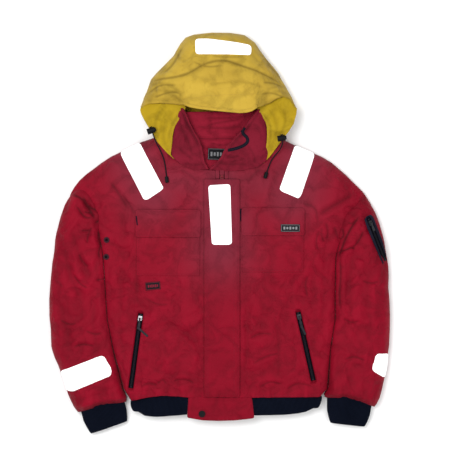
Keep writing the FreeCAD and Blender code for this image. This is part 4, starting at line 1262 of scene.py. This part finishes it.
def badge(name, place, width, depth, body, node, words, weave=LABEL_GREY):
    """Woven label: dark ground, light border and rows of plain bars where lettering would be."""
    ground = Row()
    ground.box(place @ Matrix.Translation((0, 0, 0.55 * MM)), (width * MM, depth * MM, 1.0 * MM), 0.02)
    plate = ground.build(name, LABEL, body)
    plain(plate)
    if node:
        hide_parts(node)
    marks = Row()
    high = 1.02 * MM
    for y in (-depth / 2 + 1.4, depth / 2 - 1.4):
        spot = Matrix.Translation((0, y * MM, high))
        marks.box(place @ spot, ((width - 2.2) * MM, 0.7 * MM, 0.25 * MM), 0.3)
    for x in (-width / 2 + 1.4, width / 2 - 1.4):
        spot = Matrix.Translation((x * MM, 0, high))
        marks.box(place @ spot, (0.7 * MM, (depth - 3) * MM, 0.25 * MM), 0.3)
    step = (width - 10) / words
    for k in range(words):
        x = -width / 2 + 5 + step * (k + 0.5)
        tall = depth * (0.30 if k % 2 else 0.38)
        spot = Matrix.Translation((x * MM, 0, high))
        marks.box(place @ spot, (step * 0.62 * MM, tall * MM, 0.3 * MM), 0.1)
    light = marks.build(name + "_weave", weave, body)
    plain(light)


def inset(outline, width):
    """A closed path a little inside a closed outline, wound either way, in mm."""
    closed = outline[-1:] + outline + outline[:1]
    area = sum(a[0] * b[1] - b[0] * a[1] for a, b in zip(outline, outline[1:] + outline[:1]))
    path = offset(closed, width * MM * (1 if area > 0 else -1))[1:-1]
    return path + path[:1]


# ---- collar ----------------------------------------------------------------------------
NOTCH_RIGHT = mm((-86, 303), (-80, 292), (-70, 267), (-58, 244), (-48, 227), (-41, 208), (-38, 190),
                 (-36, 176), (-25, 157))
NOTCH_LEFT = mm((90, 300), (80, 286), (56, 253), (36, 232), (19, 214), (9, 200), (3, 186), (-10, 171),
                (-25, 157))
COLLAR_SEAM = mm((-25, 153), (16, 152), (60, 155), (92, 163), (112, 177))


def make_collar(stitches):
    back = mm((-104, 296), (-108, 240), (-106, 190), (-80, 160), (-30, 148), (40, 148), (86, 160),
              (106, 190), (110, 250), (104, 300))
    p, faces = triangulated(back, 3.6 * MM)
    side = np.minimum(p[:, 0] + 0.108, 0.110 - p[:, 0])
    rise = ease((0.235 - p[:, 1]) / 0.08)
    z = 34 * MM + 5 * MM * rise + 15 * MM * (1 - ease(side / (38 * MM)))
    lines = [(3.0, 4, [(-62, 236), (-30, 230), (10, 233), (52, 231)]),
             (2.0, 5, [(-60, 262), (0, 256), (58, 262)]),
             (1.8, 4, [(-40, 284), (10, 280), (70, 286)]),
             (1.8, 4, [(-50, 250), (-20, 268), (24, 274), (60, 282)]),
             (1.6, 4, [(-20, 222), (4, 214), (30, 220)]), (1.6, 4, [(-34, 206), (-20, 214), (-4, 206)])]
    z = z + creased(p, lines)
    z = z + 1.0 * MM * folds(p, 8, 60, 20, 91)
    # the inside of the back collar wears the lighter copy of the fleece, painted light against the visor's
    # shade
    inner = solid("collar_inside", np.column_stack([p, z]), facing(p, faces, 1), COLLAR_BACK_LIT)
    # painted shade in the furrows
    toned(inner, 0.5 - 0.34 * furrows(p, lines))
    thicken(inner, 4 * MM, RED)
    joined(inner, BODY, "red_shell", "collar_back", "body_lining")
    inner_tree = tree_of(inner)
    stitch(stitches[BODY], inner_tree, smooth(mm((-58, 241), (-28, 236), (10, 238), (52, 236))))

    right = NOTCH_RIGHT + mm((-60, 155), (-92, 168), (-114, 188), (-119, 222), (-118, 256), (-110, 285),
                             (-98, 303))
    left = NOTCH_LEFT + COLLAR_SEAM[1:] + mm((118, 200), (120, 230), (120, 258), (114, 280), (102, 300))
    trees = []
    for name, node, outline, notch, seed, lines in (
        ("collar_right", "collar_front_right", right, NOTCH_RIGHT, 93, [
            (2.6, 5, [(-88, 296), (-76, 262), (-60, 236), (-48, 214)]),
            (1.8, 4, [(-98, 282), (-90, 250), (-74, 224)]),
            (1.6, 4, [(-84, 236), (-70, 214), (-66, 190)]), (1.2, 5, [(-108, 216), (-88, 200), (-62, 180)]),
            (1.2, 5, [(-90, 172), (-60, 166), (-40, 170)])]),
        ("collar_left", "collar_front_left", left, NOTCH_LEFT, 97, [
            (2.0, 4, [(34, 226), (56, 242), (76, 268)]), (2.0, 4, [(12, 192), (28, 184), (48, 190)]),
            (1.4, 4, [(-6, 176), (16, 168), (50, 170), (70, 164)]),
            (1.3, 5, [(66, 216), (84, 190), (86, 168)]),
            (1.2, 4, [(20, 176), (44, 176), (60, 184)])]),
    ):
        p, faces = triangulated(outline, 3.2 * MM, rings=FINE_ROWS)
        edge, _ = distance(p, notch)
        outer = np.minimum(p[:, 0] + 0.121, 0.121 - p[:, 0])
        base_rise = ease((p[:, 1] - 0.150) / 0.035)
        z = crown(p[:, 0]) + 0.8 * MM + 7.5 * MM * base_rise
        z = z - 16 * MM * (1 - dome(outer / (34 * MM))) * base_rise
        z = z + creased(p, lines) + 1.0 * MM * folds(p, 60, 46, 16, seed)
        z = z + 1.2 * MM * np.exp(-((edge / MM - 4) / 3.2) ** 2)
        z = z - 2.4 * MM * (1 - dome(edge / (2.6 * MM)))
        z = z - 0.9 * MM * np.exp(-((edge / MM - 8.2) / 1.3) ** 2)
        obj = solid(name, np.column_stack([p, z]), facing(p, faces, 1), COLLAR_RED)
        # painted shade in the furrows and in a band beside the stitched dent; the notch edge is painted
        # lighter
        toned(obj, 0.5 + 0.3 * np.exp(-(edge / (2.2 * MM)) ** 2)
              - 0.16 * np.exp(-((edge / MM - 7.5) / 2) ** 2)
              - 0.32 * furrows(p, lines))
        thicken(obj, 3.6 * MM, COLLAR_RED)
        joined(obj, BODY, "red_shell", node)
        tree = tree_of(obj)
        trees.append(tree)
        area = sum(a[0] * b[1] - b[0] * a[1] for a, b in zip(outline, outline[1:] + outline[:1]))
        sign = 1 if area > 0 else -1
        for width in (2.6, 6.6):
            stitch(stitches[BODY], tree, smooth(offset(notch, sign * width * MM)))
    tape = smooth(mm((20, 202), (40, 206), (58, 213), (68, 222), (67, 232), (58, 240), (54, 248),
                     (60, 257)))
    outline = offset(tape, 4 * MM) + offset(tape, -4 * MM)[::-1]
    strip = sheet_on("collar_zip_tape", trees[1], outline, 1.2 * MM, 0.9 * MM, TAPE, spacing=2 * MM)
    teeth = Row()
    tree = tree_of(strip)
    spots = drop(tree, along(tape, 1.5 * MM), 0.5 * MM)
    for k, (a, b) in enumerate(zip(spots[1:], spots[2:])):
        heading = Vector(b - a).normalized()
        up = Vector((0, 0, 1))
        side = heading.cross(up).normalized()
        turn = Matrix((side, heading, side.cross(heading))).transposed().to_4x4()
        shift = Vector(a) + side * (0.9 if k % 2 else -0.9) * MM
        teeth.box(Matrix.Translation(shift) @ turn, (2.6 * MM, 1.1 * MM, 1.2 * MM), 0.3)
    teeth.build("collar_zip_teeth", TEETH, BODY, "zip_tape")
    spot = drop(inner_tree, [(-0.008, 0.194)], 0)[0]
    place = Matrix.Translation(Vector(spot) + Vector((0, 0, 2 * MM))) @ Matrix.Rotation(-0.19, 4, "X")
    badge("neck_badge", place @ Matrix.Rotation(-0.03, 4, "Z"), 40, 28, BODY, "labels", 4)
    badge("small_badge", front_place(-160, -123, 5, -0.9), 36, 19, BODY, None, 6, THREAD)
    return trees


# ---- hood ------------------------------------------------------------------------------
HOOD_EDGE = mm((-191, 302), (-192, 311), (-188.4, 318.6), (-183.6, 333), (-177, 347.4), (-172, 361.8),
               (-166.8, 376.2), (-154.8, 390.6), (-140.4, 405), (-126, 419.4), (-112, 433.8),
               (-104.4, 448.2), (-95.5, 463), (-83, 478), (-62, 485.5), (-20, 490), (26, 489.5), (61, 484),
               (86, 466), (97, 449), (108, 433.8), (119.2, 419.4), (132, 405), (142.8, 390.6),
               (150.5, 376.2), (159.6, 361.8), (167, 347.4), (175.5, 333), (181.2, 318.6), (186, 309),
               (186, 302))
HOOD_LIP = mm((186, 302), (179, 313), (167, 326), (154, 330), (138, 325), (122, 315), (106, 308),
              (94, 303), (84, 299), (66, 294), (48, 292), (12, 294), (-24, 298), (-60, 303), (-82, 308),
              (-110, 312), (-140, 314), (-168, 313), (-184, 308), (-191, 302))
VISOR_EDGE = mm((-84, 307), (-70, 301), (-48, 297), (-22.8, 294), (13, 290.3), (49, 287.2), (66, 288.5),
                (78, 292), (90, 300))
HOOD_LINES = [
    (2.2, 5, [(-176, 366), (-152, 370), (-97, 375), (-68, 384), (-40, 402), (-15.6, 410.5), (13, 413),
              (30, 408), (60, 398), (85, 391), (140, 366), (158, 353)]),
    (1.8, 5, [(-27.6, 354), (4, 359), (32, 362), (73, 360), (102, 349)]),
    (1.6, 8, [(-150, 402), (-120, 392), (-98, 380)]),
    (1.6, 7, [(70, 440), (84, 424), (92, 410)]),
    (1.4, 8, [(-96, 446), (-88, 430), (-70, 416)]),
    (2.6, 8, [(-184, 322), (-150, 322), (-112, 316), (-86, 309)]),
    (2.4, 7, [(-176, 344), (-140, 346), (-106, 330), (-86, 312)]),
    (1.8, 6, [(-168, 360), (-132, 362), (-104, 346), (-84, 322)]),
    (2.4, 8, [(178, 318), (150, 322), (118, 316), (94, 304)]),
    (2.0, 7, [(170, 338), (144, 344), (116, 334), (98, 318)]),
    (1.4, 6, [(160, 356), (136, 354), (112, 344)]),
    (2.0, 4, [(-172, 339), (-141, 358), (-101, 354)]),
    (2.0, 4, [(-158, 327), (-112, 341), (-90, 333)]),
    (1.8, 4, [(103, 361), (126, 362), (149, 355)]),
    (1.8, 4, [(98, 333), (126, 339), (155, 327)]),
    (1.8, 5, [(112, 412), (132, 396), (152, 370)]),
    (2.0, 5, [(-132, 386), (-108, 410), (-88, 452)]),
    (1.8, 5, [(90, 462), (112, 426), (124, 402)]),
    (1.6, 4, [(-62, 410), (-30, 396), (6, 400)]),
    (1.4, 5, [(-20, 424), (20, 420), (60, 424)]),
]


def hood_height(p):
    edge, _ = distance(p, HOOD_EDGE)
    x, y = p[:, 0] / MM, p[:, 1] / MM
    top = 98 + 2.2 * folds(p, 30, 120, 46, 101) + 1.1 * folds(p, 70, 60, 24, 103)
    z = 14 + (top - 14) * np.minimum(dome(edge / (104 * MM)), 1)
    beside = np.maximum(ease((-72 - x) / 34), ease((x - 84) / 34))
    fall = ease((352 - y) / 50)
    rest = 66 - 30 * (1 - dome(edge / (26 * MM)))
    k = beside * fall
    z = z * (1 - k) + np.minimum(rest, z) * k
    return z * MM + creased(p, HOOD_LINES) * ease(edge / (18 * MM))


def make_hood(stitches):
    outline = HOOD_EDGE + HOOD_LIP[1:-1]
    p, tris = triangulated(outline, 4 * MM, crease_rows(HOOD_LINES), rings=SEAM_ROWS)
    edge, _ = distance(p, HOOD_EDGE)
    lip, _ = distance(p, HOOD_LIP)
    z = hood_height(p) - 3 * MM * (1 - dome(lip / (3 * MM))) * (edge > EDGE)
    z = np.where(edge < EDGE, RIM, z)
    under = HOOD_EDGE + mm((150, 262), (122, 240), (-122, 240), (-158, 262))
    q, back = triangulated(under, 7 * MM, rings=SEAM_ROWS)
    gap, _ = distance(q, HOOD_EDGE)
    low = FLOOR_GAP + (RIM - FLOOR_GAP) * (1 - dome(gap / (20 * MM)))
    low = low + 1.2 * MM * ease(gap / 0.03) * (1 + folds(q, 40, 60, 30, 9))
    low = np.where(gap < EDGE, RIM, low)
    count = len(p)
    faces = facing(p, tris, 1) + [[k + count for k in f] for f in facing(q, back, -1)]
    verts = np.concatenate([np.column_stack([p, z]), np.column_stack([q, low])])
    obj = solid("hood_shell", verts, faces, YELLOW)
    # painted shade towards the outer edge and in the furrows, painted highlight on the fold tops, painted
    # shade on the floor-side sheet
    dark_side = ease((edge - 0.001) / 0.04)
    tone = 0.41 + 0.08 * dark_side - 0.42 * furrows(p, HOOD_LINES) + 0.05 * folds(p, 30, 120, 46, 101)
    toned(obj, np.concatenate([tone, np.full(len(q), 0.4)]))
    weld(obj)
    tree = tree_of(obj)
    thicken(obj, 2.0 * MM, YELLOW_LINING)
    joined(obj, BODY, "yellow_shell", "hood_back", "hood_crown", "hood_lining", "hood_sides")

    outline = VISOR_EDGE + mm((94, 320), (97, 345), (96, 369), (-82, 369), (-86, 345), (-88, 322))
    p, tris = triangulated(outline, 3.6 * MM, rings=FINE_ROWS)
    front, _ = distance(p, VISOR_EDGE)
    gap, _ = distance(p, outline + outline[:1])
    rise = ease((0.3695 - p[:, 1]) / 0.014) * ease(np.minimum(p[:, 0] + 0.0885, 0.0975 - p[:, 0]) / 0.010)
    z = hood_height(p) - 1.0 * MM + 3.4 * MM * rise
    z = z - 2.0 * MM * (1 - dome(front / (2.4 * MM))) + 0.9 * MM * np.exp(-((front / MM - 4.5) / 3.5) ** 2)
    z = z + creased(p, [(1.0, 2.6, [(-86, 318), (-40, 326), (13, 330.6), (60, 332), (96, 333)]),
                        (1.2, 5, [(-60, 352), (-30, 338), (-6, 330)]),
                        (1.0, 5, [(60, 350), (70, 330), (64, 310)])])
    visor = solid("visor_brim", np.column_stack([p, z]), facing(p, tris, 1), YELLOW)
    # a little lighter overall, with painted highlight on the front edge, painted shade in a band behind it and
    # in the hood's furrows, and random tone
    toned(visor, 0.54 + 0.04 * np.exp(-(front / (2 * MM)) ** 2) - 0.08 * np.exp(-((front / MM - 7) / 2) ** 2)
          + 0.05 * folds(p, 10, 70, 20, 12) - 0.2 * furrows(p, HOOD_LINES))
    visor_tree = tree_of(visor)
    thicken(visor, 2.4 * MM, YELLOW_LINING)
    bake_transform(visor)
    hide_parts("visor")
    stitch(stitches["visor"], visor_tree, smooth(mm((-80, 312), (-46, 303), (13, 297), (50, 294),
                                                    (74, 298))), lift=0.1 * MM)
    stitch(stitches["visor"], visor_tree, smooth(mm((-82, 319.8), (-40, 327), (13, 330.6), (60, 332),
                                                    (88, 333))))
    seam = HOOD_LINES[0][2]
    for width in (3.2, -3.2):
        stitch(stitches["hood"], tree, smooth(offset(mm(*seam[1:-1]), width * MM)))
    return tree


LOBES = {
    "right": (mm((-191, 303), (-180, 318), (-130, 320), (-84, 314), (-80, 304), (-89, 290), (-97, 275),
                 (-105, 262), (-109, 251), (-112, 236), (-113, 222), (-115, 205), (-116.5, 193),
                 (-107.5, 180.5), (-126, 196), (-149, 222), (-170, 257), (-181, 276), (-188, 290)),
              [(3.0, 7, [(-104, 304), (-124, 280), (-134, 250), (-134, 222), (-120, 196)]),
               (2.2, 6, [(-134, 306), (-152, 280), (-156, 250), (-146, 228)]),
               (1.6, 5, [(-88, 300), (-106, 276), (-119, 250), (-122, 224)])]),
    "left": (mm((186, 303), (181, 317), (170, 332), (154, 338), (136, 333), (118, 322), (92, 308),
                (90, 297), (102, 284), (110, 270), (113, 258), (114, 240), (113, 222), (109, 196),
                (106, 172), (120, 186), (138, 210), (152, 230), (166, 247), (178, 266), (184, 288)),
             [(3.0, 7, [(120, 302), (136, 276), (138, 248), (128, 218), (116, 192)]),
              (2.2, 6, [(152, 304), (160, 280), (154, 254), (140, 230)]),
              (1.6, 5, [(100, 292), (120, 270), (124, 244), (120, 220)])]),
}


def make_lobes(under, stitches):
    for side, (outline, lines) in LOBES.items():
        p, faces = triangulated(outline, 3.2 * MM, rings=FINE_ROWS)
        gap, _ = distance(p, outline + outline[:1])
        rest = drop(under, p, 0)[:, 2]
        y = p[:, 1] / MM
        lie = np.maximum(rest + 3.4 * MM, 46 * MM + 12 * MM * ease((y - 190) / 60))
        z = lie * 0.5 + (53 + 7 * ease((y - 180) / 80)) * 0.5 * MM
        seed = 7 if side == "right" else 17
        z = np.maximum(z, rest + 3.0 * MM) + creased(p, lines) + 1.3 * MM * folds(p, 66, 60, 17, seed)
        covered = inside(p, HOOD_EDGE + HOOD_LIP[1:-1])
        z = np.where(covered, np.minimum(z, hood_height(p) - 3.2 * MM), z)
        z = z - 2.4 * MM * (1 - dome(gap / (3 * MM)))
        obj = solid("hood_fold_" + side, np.column_stack([p, z]), facing(p, faces, 1), YELLOW_LINING)
        # painted shade in the furrows and painted highlight along the edges
        toned(obj, 0.5 - 0.3 * furrows(p, lines) + 0.14 * np.exp(-(gap / (2.2 * MM)) ** 2))
        tree = tree_of(obj)
        thicken(obj, 2.6 * MM, YELLOW)
        joined(obj, BODY, "yellow_shell", "hood_lobe_" + side)
        inner = outline[4:13] if side == "right" else outline[7:14]
        stitch(stitches["hood"], tree, smooth(offset(inner, (-3.5 if side == "right" else 3.5) * MM)))


# ---- drawcords -------------------------------------------------------------------------
CORD = 3 * MM
CORDS = {
    "right": (126.8, [(-164, 256, 70.5), (-157, 236, 69), (-150, 217, 60), (-140.5, 200, 52.6),
                      (-133, 180, 51.2), (-129, 159, 51.8), (-127, 139, 54.0)]),
    "left": (102.9, [(148.3, 238, 70.5), (149.8, 228, 69.8), (151.5, 217, 69), (143, 200, 60),
                     (129, 186.5, 52.6), (119.5, 168, 51.8), (113, 149, 54.5)]),
}


def braided():
    mat, tree, shader = base("braided_cord", 0.8, 0.1)
    where, _ = coloured(tree, shader, (0.004, 0.004, 0.006), (0.013, 0.012, 0.016), 700.0)
    threads = []
    for turn in (0.9, -0.9):
        mapping = add(tree, "ShaderNodeMapping")
        mapping.inputs["Rotation"].default_value = (0.3, 0.5, turn)
        wave = add(tree, "ShaderNodeTexWave", Scale=420.0, Distortion=0.4)
        tree.links.new(where.outputs["Object"], mapping.inputs["Vector"])
        tree.links.new(mapping.outputs["Vector"], wave.inputs["Vector"])
        threads.append(wave)
    cross = add(tree, "ShaderNodeMath", operation="MAXIMUM")
    bump = add(tree, "ShaderNodeBump", Strength=0.7, Distance=0.0004)
    tree.links.new(threads[0].outputs["Fac"], cross.inputs[0])
    tree.links.new(threads[1].outputs["Fac"], cross.inputs[1])
    tree.links.new(cross.outputs["Value"], bump.inputs["Height"])
    tree.links.new(bump.outputs["Normal"], shader.inputs["Normal"])
    return mat


def make_cords():
    material = braided()
    for side, (length, points) in CORDS.items():
        line = bpy.data.curves.new("hood_cord_" + side, "CURVE")
        line.dimensions = "3D"
        spline = line.splines.new("NURBS")
        spline.points.add(len(points) - 1)
        for point, place in zip(spline.points, mm(*points)):
            point.co = (*place, 1)
        spline.order_u = 3
        spline.use_endpoint_u = True
        line.bevel_depth = CORD / 2
        line.bevel_resolution = 5
        line.resolution_u = 12
        line.use_fill_caps = True
        line.materials.append(material)
        cord = bpy.data.objects.new("hood_cord_" + side, line)
        bpy.context.scene.collection.objects.link(cord)
        joined(cord, BODY, "drawcord", "drawcord_" + side)


# ---- sleeve pocket and reflective patches ----------------------------------------------
def pocket_place():
    top, low = Vector((357, 46, 54)) * MM, Vector((405, -70, 34)) * MM
    y = (top - low).normalized()
    x = y.cross(Vector((0.42, 0, 1))).normalized()
    turn = Matrix((x, y, x.cross(y))).transposed().to_4x4()
    return Matrix.Translation((top + low) / 2) @ turn, (top - low).length / MM


def make_sleeve_pocket():
    place, length = pocket_place()
    half = length / 2
    outline = rounded(mm((-11, -half + 2), (6.5, -half + 12), (12.5, -10), (13, half - 8), (8, half),
                         (-12, half - 4), (-13.5, half - 30)), 4 * MM)
    p, faces = triangulated(outline, 2.6 * MM,
                            [mm((s, -half + 8), (s, half - 8)) for s in (-7.4, -6, 6, 7.4)],
                            rings=(0.7 * MM, 1.6 * MM))
    gap, _ = distance(p, outline + outline[:1])
    d, _ = distance(p, mm((0, -half + 9), (0, half - 9)))
    z = -3.2 * MM * (1 - dome(gap / (4 * MM))) - 6.4 * MM * (1 - ease((d / MM - 5.8) / 1.8)) - 0.8 * MM
    verts = [tuple(place @ Vector((x, y, h))) for (x, y), h in zip(p, z)]
    pad = solid("sleeve_pocket_welt", verts, facing(p, faces, 1), NAVY)
    # painted highlight along the welt's edges
    toned(pad, 0.5 + 0.3 * (1 - ease(gap / (3 * MM))))
    thicken(pad, 2.0 * MM)
    joined(pad, "sleeve_left", "zip_tape", "sleeve_pocket")
    cloth, teeth = Row(), Row()
    zip_rows(place, length - 14, 6.0, cloth, teeth)
    cloth.build("sleeve_zip_tape", TAPE, "sleeve_left", "zip_tape", "sleeve_pocket_zip")
    teeth.build("sleeve_zip_teeth", TEETH, "sleeve_left", "zip_tape")


PATCHES = [
    ("reflective_shoulder_right", "torso", BODY, "reflective_shoulders",
     [(-241, 199), (-193, 223.2), (-134, 112), (-140, 106), (-174, 84), (-182, 85)]),
    ("reflective_shoulder_left", "torso", BODY, None,
     [(182, 216.6), (230.5, 196), (196, 94), (190, 87), (150, 104), (144, 110)]),
    ("reflective_hood_patch", "hood", BODY, "reflective_hood",
     [(-58, 468), (-28, 468), (76, 453), (75, 427), (-56, 427.5)]),
    ("reflective_cuff_right", "sleeve_right", "sleeve_right", "reflective_sleeve_right",
     [(-385, -329), (-280, -289), (-260, -322), (-260, -339), (-355, -378), (-370, -376)]),
    ("reflective_cuff_left", "sleeve_left", "sleeve_left", "reflective_sleeve_left",
     [(366, -326), (376, -286), (409.5, -287), (402.5, -338), (397, -345)]),
]


def make_patches(trees, stitches):
    for name, on, body, node, points in PATCHES:
        outline = rounded(mm(*points), 9 * MM)
        patch = sheet_on(name, trees[on], outline, 1.1 * MM, 0.9 * MM, REFLECT, spacing=3.4 * MM, body=body)
        if node:
            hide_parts(node)
        stitch(stitches["patch_" + body], tree_of(patch), inset(outline, 2.4))


def make_vents_and_tabs(torso_tree):
    mesh = Row()
    for x, y in VENTS:
        place = front_place(x, y)
        for i in range(-4, 5):
            for size, at in (((0.5, 8.4, 0.5), (i, 0)), ((8.4, 0.5, 0.5), (0, i))):
                spot = Matrix.Translation(Vector((at[0], at[1], -1.6)) * MM)
                mesh.box(place @ spot, tuple(c * MM for c in size), 0.1)
        mesh.box(place @ Matrix.Translation((0, 0, -2.6 * MM)), (9 * MM, 9 * MM, 1 * MM), 0.1)
    mesh.build("vent_netting", PLASTIC, BODY, "black_plastic")
    for name, lift, path in (("side_tab", 6.6, mm((-199.7, 46), (-198.4, 34), (-197, 22))),
                             ("placket_tab", 3.2, mm((51.4, 62), (51.9, 47), (52.2, 32)))):
        outline = offset(path, 2 * MM) + offset(path, -2 * MM)[::-1]
        tab = sheet_on(name, torso_tree, outline, lift * MM, 1.0 * MM, TAPE, spacing=1.6 * MM)


CAD_LOOKS = (
    (PAINTED, ("vent_eyelets",)),
    (PLASTIC, ("hem_snap", "cord_guides", "cord_lock_right", "cord_lock_left", "lock_button_right",
               "lock_button_left", "cord_end_right", "cord_end_left")),
    (RED_PAINT, ("main_zip_slider", "main_zip_pull")),
    (METAL, ("hand_slider_right",)),
    (TEETH, ("hand_pull_right", "hand_pull_left")),
    (DARK_METAL, ("hand_slider_left", "sleeve_slider", "sleeve_pull")),
)


# ---- cloth simulation ------------------------------------------------------------------
SETTLE_FRAMES = 14
SWELL = 1.2                   # pressure of the air in the padding


def settle(obj, hold, cap):
    """Lets the padded cloth swell and wrinkle by cap at most; hold is 1 where it is sewn down."""
    start = co_of(obj)
    count = len(start)
    group = obj.vertex_groups.new(name="sewn")
    for k in range(count):
        group.add([k], float(hold[k]), "REPLACE")
    cloth = obj.modifiers.new("cloth", "CLOTH")
    use = cloth.settings
    use.quality = 3
    use.mass = 0.2
    use.tension_stiffness = 20
    use.compression_stiffness = 20
    use.shear_stiffness = 8
    use.bending_stiffness = 0.4
    use.vertex_group_mass = "sewn"
    use.use_pressure = True
    use.uniform_pressure_force = SWELL
    use.shrink_min = -0.02
    use.effector_weights.gravity = 0
    cloth.point_cache.frame_start = 1
    cloth.point_cache.frame_end = SETTLE_FRAMES
    scene = bpy.context.scene
    for k in range(1, SETTLE_FRAMES + 1):
        scene.frame_set(k)
    puffed = obj.evaluated_get(bpy.context.evaluated_depsgraph_get())
    end = np.empty(count * 3)
    puffed.data.vertices.foreach_get("co", end)
    move = end.reshape(-1, 3) - start
    obj.modifiers.remove(cloth)
    scene.frame_set(1)
    reach = np.linalg.norm(move, axis=1, keepdims=True)
    move = np.where(np.isfinite(move), move, 0) * np.minimum(1, cap / np.maximum(reach, 1e-9))
    move = move * (1 - hold[:, None])
    final = start + move
    final[:, 2] = np.maximum(final[:, 2], FLOOR_GAP)
    obj.data.vertices.foreach_set("co", final.ravel())
    obj.vertex_groups.clear()
    obj.data.update()


def hold_near(obj, paths, reach):
    p = co_of(obj)[:, :2]
    gap = np.full(len(p), 1.0)
    for path in paths:
        gap = np.minimum(gap, distance(p, path)[0])
    return 1 - ease(gap / reach)


# ---- putting it together ---------------------------------------------------------------
studio()
make_cords()
SEWN = (BODY, "storm_flap", "pocket_flap_right", "pocket_flap_left", "visor", "hood",
        "patch_front", "patch_" + BODY, "patch_sleeve_right", "patch_sleeve_left")
stitches = {name: Row() for name in SEWN}
torso = make_torso()
sleeve_right = make_sleeve("sleeve_right_shell", OUTER_RIGHT, END_RIGHT, INNER_RIGHT, TUCK_RIGHT, UNDER_RIGHT,
                           SLEEVE_CREASES_RIGHT, 51)
sleeve_left = make_sleeve("sleeve_left_shell", OUTER_LEFT, END_LEFT, INNER_LEFT, TUCK_LEFT, UNDER_LEFT,
                          SLEEVE_CREASES_LEFT, 67)
p = co_of(torso)
seams = [SHOULDER_RIGHT, SHOULDER_LEFT, SIDE_RIGHT, SIDE_LEFT, CREASE_RIGHT, CREASE_LEFT,
         zip_line(ZIP_RIGHT),
         zip_line(ZIP_LEFT), NECK_FRONT, NECK_FRONT_RIGHT, mm((-216, -398), (246, -391))]
hold = hold_near(torso, seams, 26 * MM)
for box in QUIET + (SMALL_BADGE_BOX,):
    hold = np.maximum(hold, ease((depth_in_box(p, *box) + 10 * MM) / (12 * MM)))
hold = np.maximum(hold, hold_near(torso, [mm(*VENTS)], 24 * MM))
hold[p[:, 2] < 12 * MM] = 1
settle(torso, hold, 3 * MM)
for obj, lines in ((sleeve_right, (INNER_RIGHT, END_RIGHT, TUCK_RIGHT, UNDER_RIGHT, OUTER_RIGHT)),
                   (sleeve_left, (INNER_LEFT, END_LEFT, TUCK_LEFT, UNDER_LEFT, OUTER_LEFT,
                                  SLEEVE_POCKET_LINE))):
    hold = hold_near(obj, lines, 22 * MM)
    hold[co_of(obj)[:, 2] < 10 * MM] = 1
    settle(obj, hold, 3.5 * MM)
trees = {"torso": tree_of(torso), "sleeve_right": tree_of(sleeve_right), "sleeve_left": tree_of(sleeve_left)}
for obj in (torso, sleeve_right, sleeve_left):
    thicken(obj, CLOTH, LINING)
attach(torso, BODY)
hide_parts("back_shell", "front_shell_right", "front_shell_left", "side_panels", "shoulder_yokes")
for side, obj, x in (("right", sleeve_right, -ARM_X), ("left", sleeve_left, ARM_X)):
    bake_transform(obj)
    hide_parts("sleeve_" + side)
make_hem()
make_tab()
make_cuff("cuff_right", CUFF_RIGHT, "sleeve_right")
make_cuff("cuff_left", CUFF_LEFT, "sleeve_left")
make_zips()
make_front_details(stitches)
make_collar(stitches)
trees["hood"] = make_hood(stitches)
make_lobes(trees["torso"], stitches)
make_sleeve_pocket()
make_patches(trees, stitches)
make_vents_and_tabs(trees["torso"])
for place in (ZIP_RIGHT, ZIP_LEFT):
    for shift in (-10.5, 10.5):
        stitch(stitches[BODY], trees["torso"], zip_line(place, 4, shift))
stitch(stitches[BODY], trees["torso"], mm((-214, -386), (-80, -386)))
stitch(stitches[BODY], trees["torso"], mm((80, -386), (242, -386)))
for name, row in stitches.items():
    if name.startswith("patch_"):
        place = name.removeprefix("patch_")
        threads = row.build("tape_stitches_" + place, THREAD_GREY, "storm_flap" if place == "front" else place)
    elif name in ("hood", "visor"):
        threads = row.build("stitches_" + name, THREAD_YELLOW, BODY if name == "hood" else "visor")
    else:
        threads = row.build("stitches_" + name, THREAD, name)
    plain(threads)
for look, names in CAD_LOOKS:
    for name in names:
        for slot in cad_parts[name].material_slots:
            slot.material = look

square = mm((-3000, -3000, 0), (3000, -3000, 0), (3000, 3000, 0), (-3000, 3000, 0))
ground = solid("floor", square, [(0, 1, 2, 3)], FLOOR)
